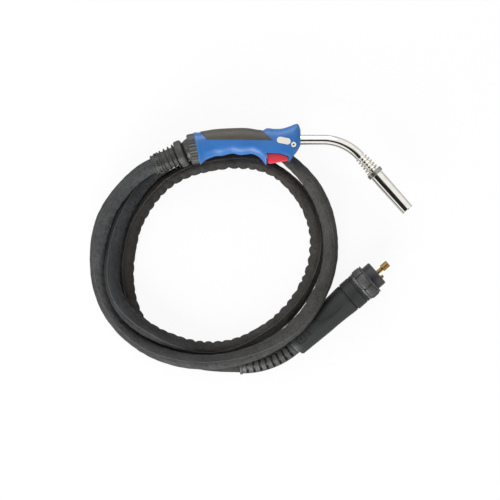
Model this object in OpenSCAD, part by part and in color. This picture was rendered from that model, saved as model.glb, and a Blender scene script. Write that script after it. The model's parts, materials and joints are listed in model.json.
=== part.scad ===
// MIG/MAG welding torch with its cable laid in a loose coil, and its central connector.
// Millimetres, +Z up. The floor is z = 0, and the origin is the middle of the coil on the floor.
// The torch lies on its side on the coil: its trigger points to -Y, and its neck runs along +X.

/* [Cable] */
// Diameter of the sleeved cable
cable_d = 20; // [17:0.5:20]
// Diameter of the bare cable inside the bend sleeves
core_d = 14; // [10:0.5:14]

/* [Ball joint and bend sleeve] */
// Diameter of the ball
ball_d = 32; // [28:0.5:32]
// Diameter of the fluted ring behind the handle
ring_d = 41; // [39:0.5:41]
// Length of the fluted ring
ring_len = 10.8; // [9:0.2:12]
// Number of flutes on the ring
ring_flutes = 32; // [24:1:40]
// Length of the seat that holds the ball from the front
seat_len = 8; // [6:0.5:8.5]
// Distance from the ball's centre to the end of the bend sleeve
sleeve_len = 56.5; // [54:0.5:60]
// Diameter of the sleeve's front collar
collar_d = 37; // [33:0.5:37]
// Diameter of the sleeve's fins
fin_d = 33; // [29:0.5:34]
// Number of fins on the sleeve
fins = 4; // [3:1:4]
// Diameter of the sleeve's end band
band_d = 29.8; // [28:0.2:31]
// Diameter of the sleeve's end flange
sleeve_end_d = 27.6; // [25:0.2:28]

/* [Handle] */
// Length of the handle from the ball's centre to its nose
handle_len = 146.4; // [142:0.2:150]
// Wall of the moulded handle shells
shell_wall = 2.6; // [2:0.1:3]
// Height of the neck's axis over the ball's centre
neck_rise = 12.6; // [11.6:0.1:13.2]
// Thickness of the soft grip
grip_t = 0.9; // [0.6:0.1:1.4]
// Length of the blank oval plate
plate_len = 18.6; // [15:0.2:20]
// Width of the blank oval plate
plate_w = 8.6; // [8:0.2:10]
// Diameter of the round cap beside the nose
cap_d = 7; // [6:0.2:8.4]
// Diameter of the handle screws
screw_d = 3; // [2.5:0.1:3.5]

/* [Trigger] */
// Width of the trigger
trigger_w = 14; // [11:0.5:16]
// Diameter of the pin that the trigger swings on
trigger_pin_d = 3; // [2.5:0.1:3.4]
// Length of the microswitch
switch_len = 13; // [12:0.5:15]

/* [Neck and nozzle] */
// Outer diameter of the neck tube
neck_d = 13.5; // [12:0.1:14]
// Wall of the neck tube
neck_wall = 1.7; // [1.2:0.1:2]
// Angle of the neck's bend
neck_bend = 48.4; // [40:0.1:55]
// Radius of the neck's bend
neck_r = 67.5; // [55:0.5:80]
// Distance from the nose to the start of the bend
neck_straight = 30.2; // [24:0.2:36]
// Wire of the nozzle spring
spring_wire = 2.2; // [1.8:0.1:2.4]
// Number of turns of the nozzle spring
spring_turns = 5; // [4:1:5]
// Length of the nozzle spring
spring_len = 26.5; // [24:0.5:28]
// Diameter of the collar behind the nozzle
nozzle_collar_d = 22.6; // [20:0.2:24]
// Length of the gas nozzle
nozzle_len = 63.4; // [58:0.2:70]
// Diameter of the gas nozzle at the collar
nozzle_d = 18.3; // [17.9:0.1:19.5]
// Diameter of the gas nozzle at its mouth
mouth_d = 17; // [16:0.1:18]
// Bore of the gas nozzle's mouth
mouth_bore = 13; // [12:0.1:14]
// Wire bore of the contact tip
tip_bore = 1.2; // [0.8:0.1:1.6]

/* [Connector] */
// Diameter of the lobed nut over its lobes
nut_d = 46; // [45:0.5:47]
// Number of lobes on the nut
nut_lobes = 7; // [6:1:8]
// Length of the nut
nut_len = 15; // [13:0.5:17]
// Diameter of the insulating front
face_d = 35.4; // [34:0.2:35.8]
// How far the insulating front stands out of the nut
face_out = 12.4; // [10:0.2:14]
// Diameter of the pale flange ring
flange_d = 43.8; // [42.6:0.2:44]
// Diameter of the housing behind the flange ring
housing_d = 42.2; // [41:0.2:42.4]
// Diameter of the housing at its rear
housing_rear_d = 35; // [33:0.5:35.5]
// Length from the insulating front to the housing's rear
plug_len = 149; // [146:0.5:152]
// Diameter of the brass gas pin
gas_pin_d = 5.6; // [5:0.1:6]
// Diameter of the knurled liner nut on the gas pin
liner_nut_d = 9.4; // [8:0.2:10]
// Diameter of the trigger contacts
contact_d = 4; // [3.4:0.1:4.4]
// Diameter of the bend protector's ribs
boot_d = 25; // [23:0.5:25]
// Length of the bend protector
boot_len = 77; // [74:0.5:80]
// Number of ribs on the bend protector
boot_ribs = 9; // [7:1:10]

/* [Hidden] */
$fn = 48;

// Gap between pieces that are fitted together
fit = 0.1;
// Gap between pieces that move on each other
run = 0.3;
far = 400;

// ---- Cable: lay of the coil ----
// Sides of the cable's section, and rings in one turn of the coil
cable_sides = 6;
rings_per_turn = 24;
// Depth of the flat where the cable lies on the floor
floor_cut = cable_d / 10;
floor_z = cable_d / 2 - floor_cut;
coil_start = 150;
coil_end = 975;
// Angle from +X, radius from the coil's middle, and rise over a strand that lies on the floor
LAY = [
    [127, 139.5, 26], [145, 147, 21.5], [165, 156, 18], [184, 161, 12], [190, 163, 7.5],
    [200, 166, 4], [214, 167, 2.5], [230, 164.2, 13.5], [240, 161.8, 19.5], [250, 159, 22.5],
    [275, 152.5, 24.5], [298, 150.5, 28], [312, 151.5, 31.5], [322, 152, 32.5],
    [333, 152.5, 29], [350, 154.5, 18.5], [365, 155, 16], [385, 155.5, 16], [402, 154.5, 13.5],
    [422, 153, 0], [450, 143, 0], [480, 133.2, 3.5], [495, 132.3, 6], [510, 132, 8.5],
    [528, 135.2, 10.5], [538, 137.8, 11.5], [544, 140.2, 14], [551, 143.5, 18],
    [560, 148, 20], [570, 150, 22.5], [582, 147, 23], [592, 143, 21.5], [605, 139.5, 17.5],
    [620, 138, 12], [634, 136, 4.5], [646, 134, 0], [660, 131.5, 0], [690, 132, 0],
    [715, 136.5, 0], [740, 137.5, 0], [760, 134.8, 0], [780, 129.5, 0], [800, 119.5, 0],
    [815, 114, 0], [840, 112.5, 0], [870, 112.3, 0], [888, 115.3, 0], [900, 118, 0],
    [908, 121.8, 0], [920, 129, 0], [940, 143, 0], [960, 152, 0], [975, 155, 0],
    [1001, 160.5, 2],
];

// Smooth curve through column k of a table whose first column rises
function slope(table, i, k) =
    let (a = max(i - 1, 0), b = min(i + 1, len(table) - 1))
    (table[b][k] - table[a][k]) / (table[b][0] - table[a][0]);
function curve(table, x, k = 1) =
    let (
        i = max([for (j = [0:len(table) - 2]) if (j == 0 || table[j][0] <= x) j]),
        h = table[i + 1][0] - table[i][0],
        t = (x - table[i][0]) / h
    )
    (2 * t ^ 3 - 3 * t ^ 2 + 1) * table[i][k] + (t ^ 3 - 2 * t ^ 2 + t) * h * slope(table, i, k)
    + (3 * t ^ 2 - 2 * t ^ 3) * table[i + 1][k] + (t ^ 3 - t ^ 2) * h * slope(table, i + 1, k);

function coil_at(angle) =
    let (r = curve(LAY, angle))
    [r * cos(angle), r * sin(angle), floor_z + max(curve(LAY, angle, 2), 0)];
function unit(v) = v / norm(v);
function coil_heading(angle) = unit(coil_at(angle + 2) - coil_at(angle - 2));

// ---- Ball joint ----
ball_at = [-32.5, 133.2];
torch_z = 41.5;
ring_tilt = 11.8;
ring_back = 3.9;
ring_front = ring_len - ring_back;
sleeve_turn = 203;
sleeve_drop = 5.6;
sleeve_mouth = 10.4;
collar_len = 9.8;
collar_round = 1.8;
fin_w = 2;
root_d = 26;
band_len = 6;
band_gap = 3.4;
flange_len = 2.1;
socket_r = ball_d / 2 + run;
sleeve_dir = [
    cos(sleeve_turn) * cos(sleeve_drop), sin(sleeve_turn) * cos(sleeve_drop), -sin(sleeve_drop)
];
sleeve_end = [ball_at.x, ball_at.y, torch_z] + sleeve_len * sleeve_dir;

// ---- Handle: outline over its length as shares of handle_len, in millimetres across ----
TOP_LINE = [
    [0, 22.6], [0.07, 22.7], [0.21, 26], [0.4, 27.6], [0.51, 27.5], [0.63, 25], [0.66, 25.8],
    [0.69, 28.2], [0.76, 27.4], [0.83, 27.8], [0.9, 30.8], [0.965, 34.2], [0.985, 32.4], [1, 26],
];
BELLY_LINE = [
    [0, -23], [0.078, -20.8], [0.12, -15.6], [0.165, -12.2], [0.22, -9.6], [0.28, -9],
    [0.335, -7], [0.38, -5.9], [0.435, -7.8], [0.48, -7.6], [0.55, -6.4], [0.585, -8],
    [0.62, -11], [0.65, -15.5], [0.68, -20.9], [0.73, -20.5], [0.85, -18], [0.905, -16.2],
    [0.935, -9.5], [0.97, -3], [1, 5],
];
SIDE_LINE = [
    [0, 20.6], [0.1, 19.8], [0.2, 18.2], [0.35, 17.2], [0.55, 17], [0.7, 16.5], [0.85, 15.6],
    [0.95, 13.4], [1, 10],
];
STATIONS = [
    0, 0.05, 0.09, 0.13, 0.18, 0.24, 0.31, 0.38, 0.45, 0.52, 0.59, 0.63, 0.66, 0.69, 0.74, 0.8,
    0.86, 0.9, 0.93, 0.965, 0.985, 1,
];
HOLLOW_STATIONS = [0.16, 0.24, 0.34, 0.45, 0.56, 0.65, 0.72, 0.8, 0.86];
handle_sides = 24;
// How square the handle's section is: 2 is an ellipse
squareness = 2.6;

function signed_power(x, p) = sign(x) * abs(x) ^ p;
// One point of the handle's section at share f and angle a, moved out by grow
function handle_point(f, a, grow) =
    let (
        top = curve(TOP_LINE, f) + grow,
        belly = curve(BELLY_LINE, f) - grow,
        side = curve(SIDE_LINE, f) + grow
    )
    [
        f * handle_len,
        (top + belly) / 2 + (top - belly) / 2 * signed_power(sin(a), 2 / squareness),
        side * signed_power(cos(a), 2 / squareness)
    ];
function handle_ring(f, grow, sides) =
    [for (j = [0:sides - 1]) handle_point(f, 360 * j / sides, grow)];

// ---- Trigger and switch, measured in the torch's frame ----
nose_len = 15.9;
opening_len = 30.1;
opening_front = handle_len - nose_len;
opening_back = opening_front - opening_len;
opening_top = -5.6;
pivot_at = [opening_front - 3.1, -2.2];
trigger_lip = -19.4;
trigger_turn = 4.5;
// The well over the trigger, and the switch that hangs from its roof
well_top = 1.4;
switch_back = opening_back + 1.4;
switch_top = neck_rise - neck_d / 2 - 2 * fit;
switch_h = 6.4;
switch_floor = switch_top - switch_h;
switch_w = 6.4;
plunger_d = 2.4;
plunger_x = opening_back + 6.4;
plunger_out = 2.6;
plunger_travel = 1.9;
floor_line = -2.8;

// ---- Neck and nozzle, measured along the nozzle's axis from the end of the bend ----
block_d = 18;
block_len = 28;
block_back = opening_back - block_len - 1;
rib_t = 3;
bend_start = handle_len + neck_straight;
liner_d = 5;
liner_bore = 2.4;
spring_start = 0.2 + spring_wire / 2;
collar_start = spring_len;
nozzle_collar_len = 6;
nozzle_start = collar_start + nozzle_collar_len + run;
nozzle_end = nozzle_start + nozzle_len;
shank_d = 10.4;
holder_root = 5;
holder_d = 12;
insulator_d = 16;
insulator_len = 14;
tip_d = 8;
tip_end = nozzle_end - 3;
tip_len = 33;

// ---- Connector, measured along its axis from its insulating front, back is negative ----
plug_at = [217.8, -33.3];
plug_heading = 41;
plug_tilt = 2.5;
nut_front = -face_out;
nut_back = nut_front - nut_len;
flange_front = nut_back - run;
housing_front = flange_front - 3.3;
plug_z = nut_d / 2 * cos(plug_tilt) - nut_back * sin(plug_tilt);
bead_len = 1.8;
lobe_cut_d = 3.4;
face_flange_len = 5;
core_len = 31;
crimp_len = 30;
core_back = housing_front - core_len;
core_body_d = 28.4;
root_bore_d = 20.2;
ring_t = 2.4;
contact_x = 5.8;
contact_y = 8.3;
contact_out = 3.5;
contact_travel = 3;
contact_len = 17;
gas_pin_out = 8.5;
liner_nut_len = 10.8;
nut_bore = liner_bore + 0.8;
housing_screw_d = 2.8;
panel_start = 24;
panel_end = 78;

// ---- Bend protector: an arc that starts at the housing's rear ----
boot_turn = 42;
boot_end_d = boot_d + 1;
boot_root = 14;
hollow_back = 1 - plug_len + boot_root;
boot_r = boot_len / (boot_turn * PI / 180);
boot_sides = 18;
slot_turn = 110;
slot_half = 52;
plug_dir = [
    cos(plug_heading) * cos(plug_tilt), sin(plug_heading) * cos(plug_tilt), sin(plug_tilt)
];
function on_plug(s) = [plug_at.x, plug_at.y, plug_z] + s * plug_dir;
boot_start = on_plug(-plug_len - ring_t);
boot_drop = boot_start.z - boot_end_d / 2 - 0.2;
function boot_at(s) =
    s < 0 ? boot_start - s * plug_dir
    : let (h = plug_heading + 180, g = h - boot_turn * s / boot_len)
    boot_start + [
        boot_r * (sin(h) - sin(g)), boot_r * (cos(g) - cos(h)), -boot_drop * s / boot_len
    ];

// ---- Routes of the cable, from the torch to the connector ----
COIL_ROUTE = concat(
    [coil_at(coil_start), coil_at(coil_start) + cable_d * coil_heading(coil_start)],
    [for (a = [coil_start + 15:360 / rings_per_turn:coil_end - 15]) coil_at(a)],
    [coil_at(coil_end) - cable_d * coil_heading(coil_end), coil_at(coil_end)]
);
HEAD_ROUTE = [
    sleeve_end, sleeve_end + cable_d * sleeve_dir,
    coil_at(coil_start) - cable_d * coil_heading(coil_start), coil_at(coil_start)
];
boot_exit = unit(boot_at(boot_len) - boot_at(boot_len - 1));
TAIL_ROUTE = [
    coil_at(coil_end), coil_at(coil_end) + cable_d * coil_heading(coil_end),
    boot_at(boot_len) + cable_d * boot_exit, boot_at(boot_len)
];

// Least distance from each point of the coil to the coil's other turns, less the cable
LAY_POINTS = [for (a = [coil_start:5:coil_end]) coil_at(a)];
coil_gap = min([
    for (i = [0:len(LAY_POINTS) - 14]) for (j = [i + 13:len(LAY_POINTS) - 1])
        norm(LAY_POINTS[i] - LAY_POINTS[j])
]) - cable_d;
spring_gap = (collar_start - 0.4 - spring_wire) / spring_turns - spring_wire;
echo(least_gap_of_coil = coil_gap, least_gap_of_spring = spring_gap);

// ---- Skins ----
// Faces between rings of points: a tube with flat ends, or closed on itself when looped
module skin(rings, looped = false) {
    n = len(rings[0]);
    m = len(rings);
    points = [for (r = rings) for (p = r) p];
    last = looped ? m - 1 : m - 2;
    sides = [
        for (i = [0:last]) for (j = [0:n - 1])
            let (a = i * n, b = ((i + 1) % m) * n, k = (j + 1) % n)
            each [[a + j, b + k, b + j], [a + j, a + k, b + k]]
    ];
    ends = looped ? [] : [
        for (j = [1:n - 2]) each [[0, j + 1, j], [(m - 1) * n, (m - 1) * n + j, (m - 1) * n + j + 1]]
    ];
    polyhedron(points = points, faces = concat(sides, ends), convexity = 10);
}

// A ring of points round p, square to the direction t, with a corner to each side
function ring_at(p, t, r, sides) =
    let (side = unit(cross(t, [0, 0, 1])), up = cross(side, t))
    [for (j = [0:sides - 1]) p + r * cos(360 * j / sides) * side + r * sin(360 * j / sides) * up];
function heading(route, i) =
    unit(route[min(i + 1, len(route) - 1)] - route[max(i - 1, 0)]);
function tube_rings(route, r, sides) =
    [for (i = [0:len(route) - 1]) ring_at(route[i], heading(route, i), r, sides)];

// A cable along a route, cut flat where it lies on the floor
module cable(route, d, sides) {
    difference() {
        skin(tube_rings(route, d / 2, sides));
        translate([-far, -far, -far])
            cube([2 * far, 2 * far, far]);
    }
}

// ---- Frames ----
module at_torch() {
    translate([ball_at.x, ball_at.y, torch_z])
        children();
}

// Z runs forward along the fluted ring's axis
module at_ring() {
    at_torch()
        rotate([0, 90, ring_tilt])
            children();
}

// Z runs back along the bend sleeve's axis
module at_sleeve() {
    at_torch()
        rotate([0, 90 + sleeve_drop, sleeve_turn])
            children();
}

// Z runs forward along the neck where it leaves the handle
module at_neck(x) {
    at_torch()
        translate([x, neck_rise, 0])
            rotate([0, 90, 0])
                children();
}

// Z runs out along the nozzle's axis, from the end of the bend
module at_nozzle() {
    at_torch()
        translate([
            bend_start + neck_r * sin(neck_bend), neck_rise - neck_r * (1 - cos(neck_bend)), 0
        ])
            rotate([0, 90, -neck_bend])
                children();
}

// Z runs out of the connector's front, and X points up
module at_plug() {
    translate([plug_at.x, plug_at.y, plug_z])
        rotate([0, 90 - plug_tilt, plug_heading])
            rotate([0, 0, 180])
                children();
}

// A turned piece with a bore
module turned(profile, bore_d = 0) {
    low = min([for (p = profile) p.y]);
    high = max([for (p = profile) p.y]);
    difference() {
        rotate_extrude()
            polygon(concat([[0, low]], profile, [[0, high]]));
        if (bore_d > 0)
            translate([0, 0, low - 1])
                cylinder(d = bore_d, h = high - low + 2);
    }
}

// ---- Cable ----
module cable_coil() {
    color("#3f3e3c")
        cable(COIL_ROUTE, cable_d, cable_sides);
}

module cable_head() {
    color("#3f3e3c")
        cable(HEAD_ROUTE, cable_d, cable_sides);
}

module cable_tail() {
    color("#3f3e3c")
        cable(TAIL_ROUTE, cable_d, cable_sides);
}

module cable_core() {
    inside = boot_start + (plug_len + core_back) * plug_dir;
    steps = 8;
    route = concat([inside], [for (i = [0:steps])
        boot_at(-boot_root + (boot_len - 1 + boot_root) * i / steps)]);
    color("#26262a")
        skin(tube_rings(route, core_d / 2, 8));
}

// ---- Ball joint ----
module cable_sleeve() {
    collar_end = sleeve_mouth + collar_len;
    flange_at = sleeve_len - flange_len;
    band_at = flange_at - band_gap - band_len;
    pitch = (band_at - collar_end) / fins;
    ribs = [
        for (i = [0:fins - 1])
            let (z = collar_end + (i + 0.5) * pitch - fin_w / 2, r = fin_d / 2 - i * 0.4)
            each [[root_d / 2, z], [r, z], [r, z + fin_w], [root_d / 2, z + fin_w]]
    ];
    color("#232326")
        at_sleeve()
            difference() {
                turned(
                    concat(
                        [
                            [collar_d / 2 - collar_round, sleeve_mouth],
                            [collar_d / 2, sleeve_mouth + collar_round],
                            [collar_d / 2, collar_end - 1], [collar_d / 2 - 1, collar_end],
                            [root_d / 2, collar_end]
                        ],
                        ribs,
                        [
                            [root_d / 2, band_at], [band_d / 2, band_at],
                            [band_d / 2, band_at + band_len], [root_d / 2, band_at + band_len],
                            [root_d / 2, flange_at], [sleeve_end_d / 2, flange_at],
                            [sleeve_end_d / 2, sleeve_len]
                        ]
                    ),
                    core_d + 2 * fit
                );
                sphere(r = socket_r);
                for (a = [0:45:315])
                    rotate([0, 0, a])
                        translate([band_d / 2 - 1.4, -3, band_at + 1.8])
                            cube([3, 6, band_len - 3.6]);
            }
}

module sleeve_ferrule() {
    color("#b9bcc2")
        at_sleeve()
            turned([[core_d / 2, sleeve_mouth + 8], [core_d / 2, sleeve_len]], core_d - 3);
}

module knuckle_ball() {
    color("#1f1f22")
        at_sleeve()
            difference() {
                sphere(d = ball_d);
                translate([0, 0, -ball_d])
                    cylinder(d = core_d, h = 2 * ball_d);
            }
}

module joint_ring() {
    tooth = 0.7;
    outer = ring_d / 2;
    color("#2a2a2c")
        at_ring()
            translate([0, 0, -ring_back])
                difference() {
                    intersection() {
                        linear_extrude(ring_len)
                            polygon([
                                for (i = [0:2 * ring_flutes - 1])
                                    let (a = 180 * i / ring_flutes, r = outer - (i % 2) * tooth)
                                    [r * cos(a), r * sin(a)]
                            ]);
                        cylinder(r1 = outer - 1.5, r2 = outer + ring_len - 1.5, h = ring_len);
                    }
                    translate([0, 0, ring_back])
                        sphere(r = socket_r);
                }
}

module ball_seat() {
    color("#55565a")
        at_ring()
            translate([0, 0, ring_front])
                difference() {
                    cylinder(d = collar_d - 1, h = seat_len);
                    translate([0, 0, -ring_front])
                        sphere(r = socket_r);
                    translate([0, 0, -1])
                        cylinder(d = core_d + 2, h = seat_len + 2);
                }
}

// ---- Handle ----
screw_spots = [
    [ring_front + seat_len + 29, 9], [block_back - 7.4, 3],
    [opening_back + 12, neck_rise + neck_d / 2 + 3.6]
];
screw_reach = 14;

module handle_solid(grow, stations) {
    skin([for (f = stations) handle_ring(f, grow, handle_sides)]);
}

// What is hollow inside the handle, between the saddles and the screw bosses
module handle_hollow() {
    difference() {
        handle_solid(-shell_wall, HOLLOW_STATIONS);
        for (x = [block_back + 1, block_back + block_len - rib_t - 1])
            translate([x, -far / 2, -far / 2])
                cube([rib_t, far, far]);
        translate([opening_back - 14, floor_line - far, -far / 2])
            cube([far, far, far]);
        for (p = screw_spots)
            translate([p.x, p.y, -far / 2])
                cylinder(d = screw_d + 4, h = far);
    }
}

module trigger_opening() {
    translate([0, 0, -far / 2])
        linear_extrude(far)
            polygon([
                [opening_back, -far], [opening_back, opening_top],
                [opening_back + 19.2, opening_top - 0.5], [opening_front, opening_top - 4.4],
                [opening_front, -far]
            ]);
    translate([opening_back, opening_top - 8, -trigger_w / 2 - run])
        cube([opening_front - opening_back, well_top - opening_top + 8, trigger_w + 2 * run]);
}

module handle_half(side) {
    at_torch()
        difference() {
            handle_solid(0, STATIONS);
            handle_hollow();
            rotate([0, 90, ring_tilt]) {
                translate([0, 0, ring_front - 2 * ring_d])
                    cylinder(d = 2 * ring_d, h = 2 * ring_d);
                cylinder(d = collar_d - 1 + 2 * fit, h = ring_front + seat_len + fit);
                cylinder(d = core_d + 6, h = ring_front + seat_len + 19);
            }
            translate([block_back, neck_rise, 0])
                rotate([0, 90, 0])
                    cylinder(d = block_d + 2 * fit, h = block_len);
            translate([block_back, neck_rise, 0])
                rotate([0, 90, 0])
                    cylinder(d = neck_d + 2 * fit, h = far);
            trigger_opening();
            switch_pocket();
            translate([pivot_at.x, pivot_at.y, -11])
                cylinder(d = trigger_pin_d + 2 * fit, h = 22);
            for (p = screw_spots) {
                translate([p.x, p.y, -screw_reach - fit])
                    cylinder(d = screw_d + 2 * fit, h = 2 * screw_reach + fit - 3);
                translate([p.x, p.y, -far])
                    cylinder(d = 2 * screw_d + 2 * fit, h = far - screw_reach + 3);
            }
            plate_shape(-fit);
            cap_seat();
            translate([-far / 2, -far / 2, side > 0 ? -far : 0])
                cube([far, far, far]);
        }
}

module switch_pocket() {
    translate([switch_back - fit, switch_floor, -switch_w / 2 - fit])
        cube([switch_len + 2 * fit, switch_h + fit, switch_w + 2 * fit]);
}

module handle_shell_left() {
    color("#2b62b5")
        handle_half(1);
}

module handle_shell_right() {
    color("#2b62b5")
        handle_half(-1);
}

// The soft grip wraps the handle's back from its rear to the front of the palm
GRIP_STATIONS = [for (f = STATIONS) if (f <= 0.8) f];
grip_steps = handle_sides / 2;
grip_edge = 12.4;
grip_rear = [ring_front + 4, 23.1];
grip_rear_cut = 42;
grip_front = [handle_len * 0.646, 24.8];
grip_front_cut = 48;

module soft_grip() {
    outer = [for (f = GRIP_STATIONS) [
        for (j = [0:grip_steps]) handle_point(f, 360 * j / handle_sides, grip_t)
    ]];
    inner = [for (f = GRIP_STATIONS) [
        for (j = [grip_steps:-1:0]) handle_point(f, 360 * j / handle_sides, fit)
    ]];
    n = 2 * grip_steps + 2;
    rings = [for (i = [0:len(outer) - 1]) concat(outer[i], inner[i])];
    m = len(rings);
    sides = [
        for (i = [0:m - 2]) for (j = [0:n - 1])
            let (a = i * n, b = (i + 1) * n, k = (j + 1) % n)
            each [[a + j, b + k, b + j], [a + j, a + k, b + k]]
    ];
    ends = [
        for (e = [0, m - 1]) for (j = [0:grip_steps - 1])
            let (a = e * n + j, b = e * n + j + 1, c = e * n + n - 2 - j, d = e * n + n - 1 - j)
            each e == 0 ? [[a, c, b], [a, d, c]] : [[a, b, c], [a, c, d]]
    ];
    color("#4b4638")
        at_torch()
            difference() {
                polyhedron(points = [for (r = rings) for (p = r) p], faces = concat(sides, ends));
                translate([-far / 2, grip_edge - far, -far / 2])
                    cube([far, far, far]);
                translate([grip_rear.x, grip_rear.y, -far / 2])
                    rotate([0, 0, grip_rear_cut])
                        translate([-far, -far / 2, 0])
                            cube([far, far, far]);
                translate([grip_front.x, grip_front.y, -far / 2])
                    rotate([0, 0, grip_front_cut])
                        translate([0, -far / 2, 0])
                            cube([far, far, far]);
            }
}

plate_at = [handle_len - 22.6, 11.2];
plate_tilt = -11;
plate_top = curve(SIDE_LINE, plate_at.x / handle_len) + 0.3;
plate_t = 2;

module plate_shape(grow) {
    r = plate_w / 2 - grow;
    reach = (plate_len - plate_w) / 2;
    translate([plate_at.x, plate_at.y, plate_top - plate_t])
        rotate([0, 0, plate_tilt])
            linear_extrude(grow < 0 ? far : plate_t)
                union() {
                    translate([-reach, 0])
                        circle(r = r);
                    translate([reach, 0])
                        circle(r = r);
                    square([2 * reach, 2 * r], center = true);
                }
}

module oval_plate() {
    color("white")
        at_torch()
            plate_shape(0);
}

cap_at = [handle_len - 9.3, 6];
cap_top = curve(SIDE_LINE, cap_at.x / handle_len) + 0.2;
cap_t = 2.6;

module cap_seat() {
    translate([cap_at.x, cap_at.y, cap_top - cap_t])
        cylinder(d = cap_d + 2 * fit, h = far);
}

module nose_cap() {
    color("#e8e8e6")
        at_torch()
            translate([cap_at.x, cap_at.y, cap_top - cap_t])
                difference() {
                    cylinder(d = cap_d, h = cap_t);
                    translate([0, 0, cap_t - 1.8])
                        cylinder(d = cap_d * 0.36, h = 2);
                }
}

module handle_screw(i) {
    color("#8f9297")
        at_torch()
            translate([screw_spots[i].x, screw_spots[i].y, -screw_reach])
                difference() {
                    union() {
                        cylinder(d = screw_d, h = 2 * screw_reach - 3);
                        cylinder(d = 2 * screw_d, h = 3);
                    }
                    translate([0, 0, -1])
                        cylinder(d = screw_d, h = 2.4, $fn = 6);
                }
}

// ---- Trigger and switch ----
module trigger() {
    back = opening_back + run + 0.2;
    front = opening_front - run - 0.2;
    top = opening_top - run - 0.1;
    lug_r = trigger_pin_d / 2 + run + 1.2;
    lean = (pivot_at.y - trigger_lip) * sin(trigger_turn);
    color("#d8232f")
        at_torch()
            difference() {
                union() {
                    translate([0, 0, -trigger_w / 2])
                        linear_extrude(trigger_w)
                            polygon([
                                [back, top], [back + 18.7, top - 0.5], [front - 3, top - 3.4],
                                [front, top - 5], [front, top - 9.6], [front - 9, trigger_lip + 2.4],
                                [front - 19, trigger_lip + 0.8],
                                [back + lean + 3, trigger_lip], [back + lean, trigger_lip + 1.6]
                            ]);
                    translate([0, 0, -trigger_w / 2 + 2])
                        linear_extrude(trigger_w - 4) {
                            polygon([
                                [pivot_at.x - lug_r - 1, top - 3], [pivot_at.x - lug_r, pivot_at.y],
                                [pivot_at.x - lug_r / 2, pivot_at.y + lug_r],
                                [pivot_at.x + lug_r / 2, pivot_at.y + lug_r],
                                [pivot_at.x + lug_r, pivot_at.y], [pivot_at.x + lug_r, top - 5]
                            ]);
                            polygon([
                                [plunger_x - 3, top - 2], [plunger_x - 3, plunger_foot() - run],
                                [plunger_x + 3, plunger_foot() - run], [plunger_x + 3, top - 2]
                            ]);
                        }
                }
                translate([pivot_at.x, pivot_at.y, -far / 2])
                    cylinder(d = trigger_pin_d + 2 * run, h = far);
            }
}

function plunger_foot() = switch_floor - plunger_out;

module trigger_pin() {
    color("#b9bcc2")
        at_torch()
            translate([pivot_at.x, pivot_at.y, -10.8])
                cylinder(d = trigger_pin_d, h = 21.6);
}

module microswitch() {
    color("#1d1d1f")
        at_torch()
            difference() {
                translate([switch_back, switch_floor, -switch_w / 2])
                    cube([switch_len, switch_h, switch_w]);
                translate([plunger_x, switch_floor - 1, 0])
                    rotate([-90, 0, 0])
                        cylinder(d = plunger_d + 2 * run, h = 1 + 2 + plunger_travel + run);
            }
}

module switch_plunger() {
    color("#c9332f")
        at_torch()
            translate([plunger_x, plunger_foot(), 0])
                rotate([-90, 0, 0])
                    cylinder(d = plunger_d, h = plunger_out + 2);
}

// ---- Neck and nozzle ----
module neck_block() {
    color("#c8a24a")
        at_neck(block_back + fit)
            difference() {
                cylinder(d = block_d, h = block_len - 2 * fit);
                translate([0, 0, 8])
                    cylinder(d = neck_d + 2 * fit, h = block_len);
                translate([0, 0, -1])
                    cylinder(d = liner_d + 2 * fit, h = block_len);
            }
}

// A tube along the neck, from x in the handle to the end of the bend
module neck_pipe(d, bore, from_x) {
    at_torch()
        translate([bend_start, neck_rise - neck_r, 0])
            rotate([180, 0, 90]) {
                translate([neck_r, 0, 0])
                    rotate([90, 0, 0])
                        difference() {
                            cylinder(d = d, h = bend_start - from_x);
                            translate([0, 0, -1])
                                cylinder(d = bore, h = far);
                        }
                rotate_extrude(angle = neck_bend)
                    translate([neck_r, 0])
                        difference() {
                            circle(d = d);
                            circle(d = bore);
                        }
            }
}

module neck_tube() {
    color("#d3d5d8")
        neck_pipe(neck_d, neck_d - 2 * neck_wall, block_back + 8 + fit);
}

module neck_liner() {
    color("#e9d9a6")
        neck_pipe(liner_d, liner_bore, block_back + fit);
}

module tip_holder() {
    neck_bore = neck_d - 2 * neck_wall;
    gas_holes = nozzle_start + insulator_len + 3;
    color("#c8a24a")
        at_nozzle()
            difference() {
                turned(
                    [
                        [neck_bore / 2 - 0.45, -holder_root], [neck_bore / 2 - 0.45, 0],
                        [shank_d / 2, 0], [shank_d / 2, nozzle_start - run],
                        [holder_d / 2, nozzle_start - run],
                        [holder_d / 2, gas_holes + 6], [holder_d / 2 - 1.4, gas_holes + 9]
                    ],
                    liner_bore
                );
                for (a = [0:90:270])
                    rotate([0, 0, a])
                        translate([0, 0, gas_holes])
                            rotate([0, 90, 0])
                                cylinder(d = 2, h = 20);
                translate([0, 0, -holder_root - 1])
                    cylinder(d = liner_d + 0.6, h = holder_root + 1);
                translate([0, 0, tip_end - tip_len])
                    cylinder(d = 6 + 2 * fit, h = tip_len);
            }
}

module contact_tip() {
    seat = nozzle_start + insulator_len + 12;
    color("#b8703a")
        at_nozzle()
            turned(
                [
                    [3, tip_end - tip_len + fit], [3, seat], [tip_d / 2, seat + fit],
                    [tip_d / 2, tip_end - 5], [tip_d / 2 - 1.6, tip_end]
                ],
                tip_bore
            );
}

module nozzle_insulator() {
    color("#e6dfcc")
        at_nozzle()
            translate([0, 0, nozzle_start])
                difference() {
                    cylinder(d = insulator_d, h = insulator_len);
                    translate([0, 0, -1])
                        cylinder(d = holder_d + 2 * fit, h = insulator_len + 2);
                }
}

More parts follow.
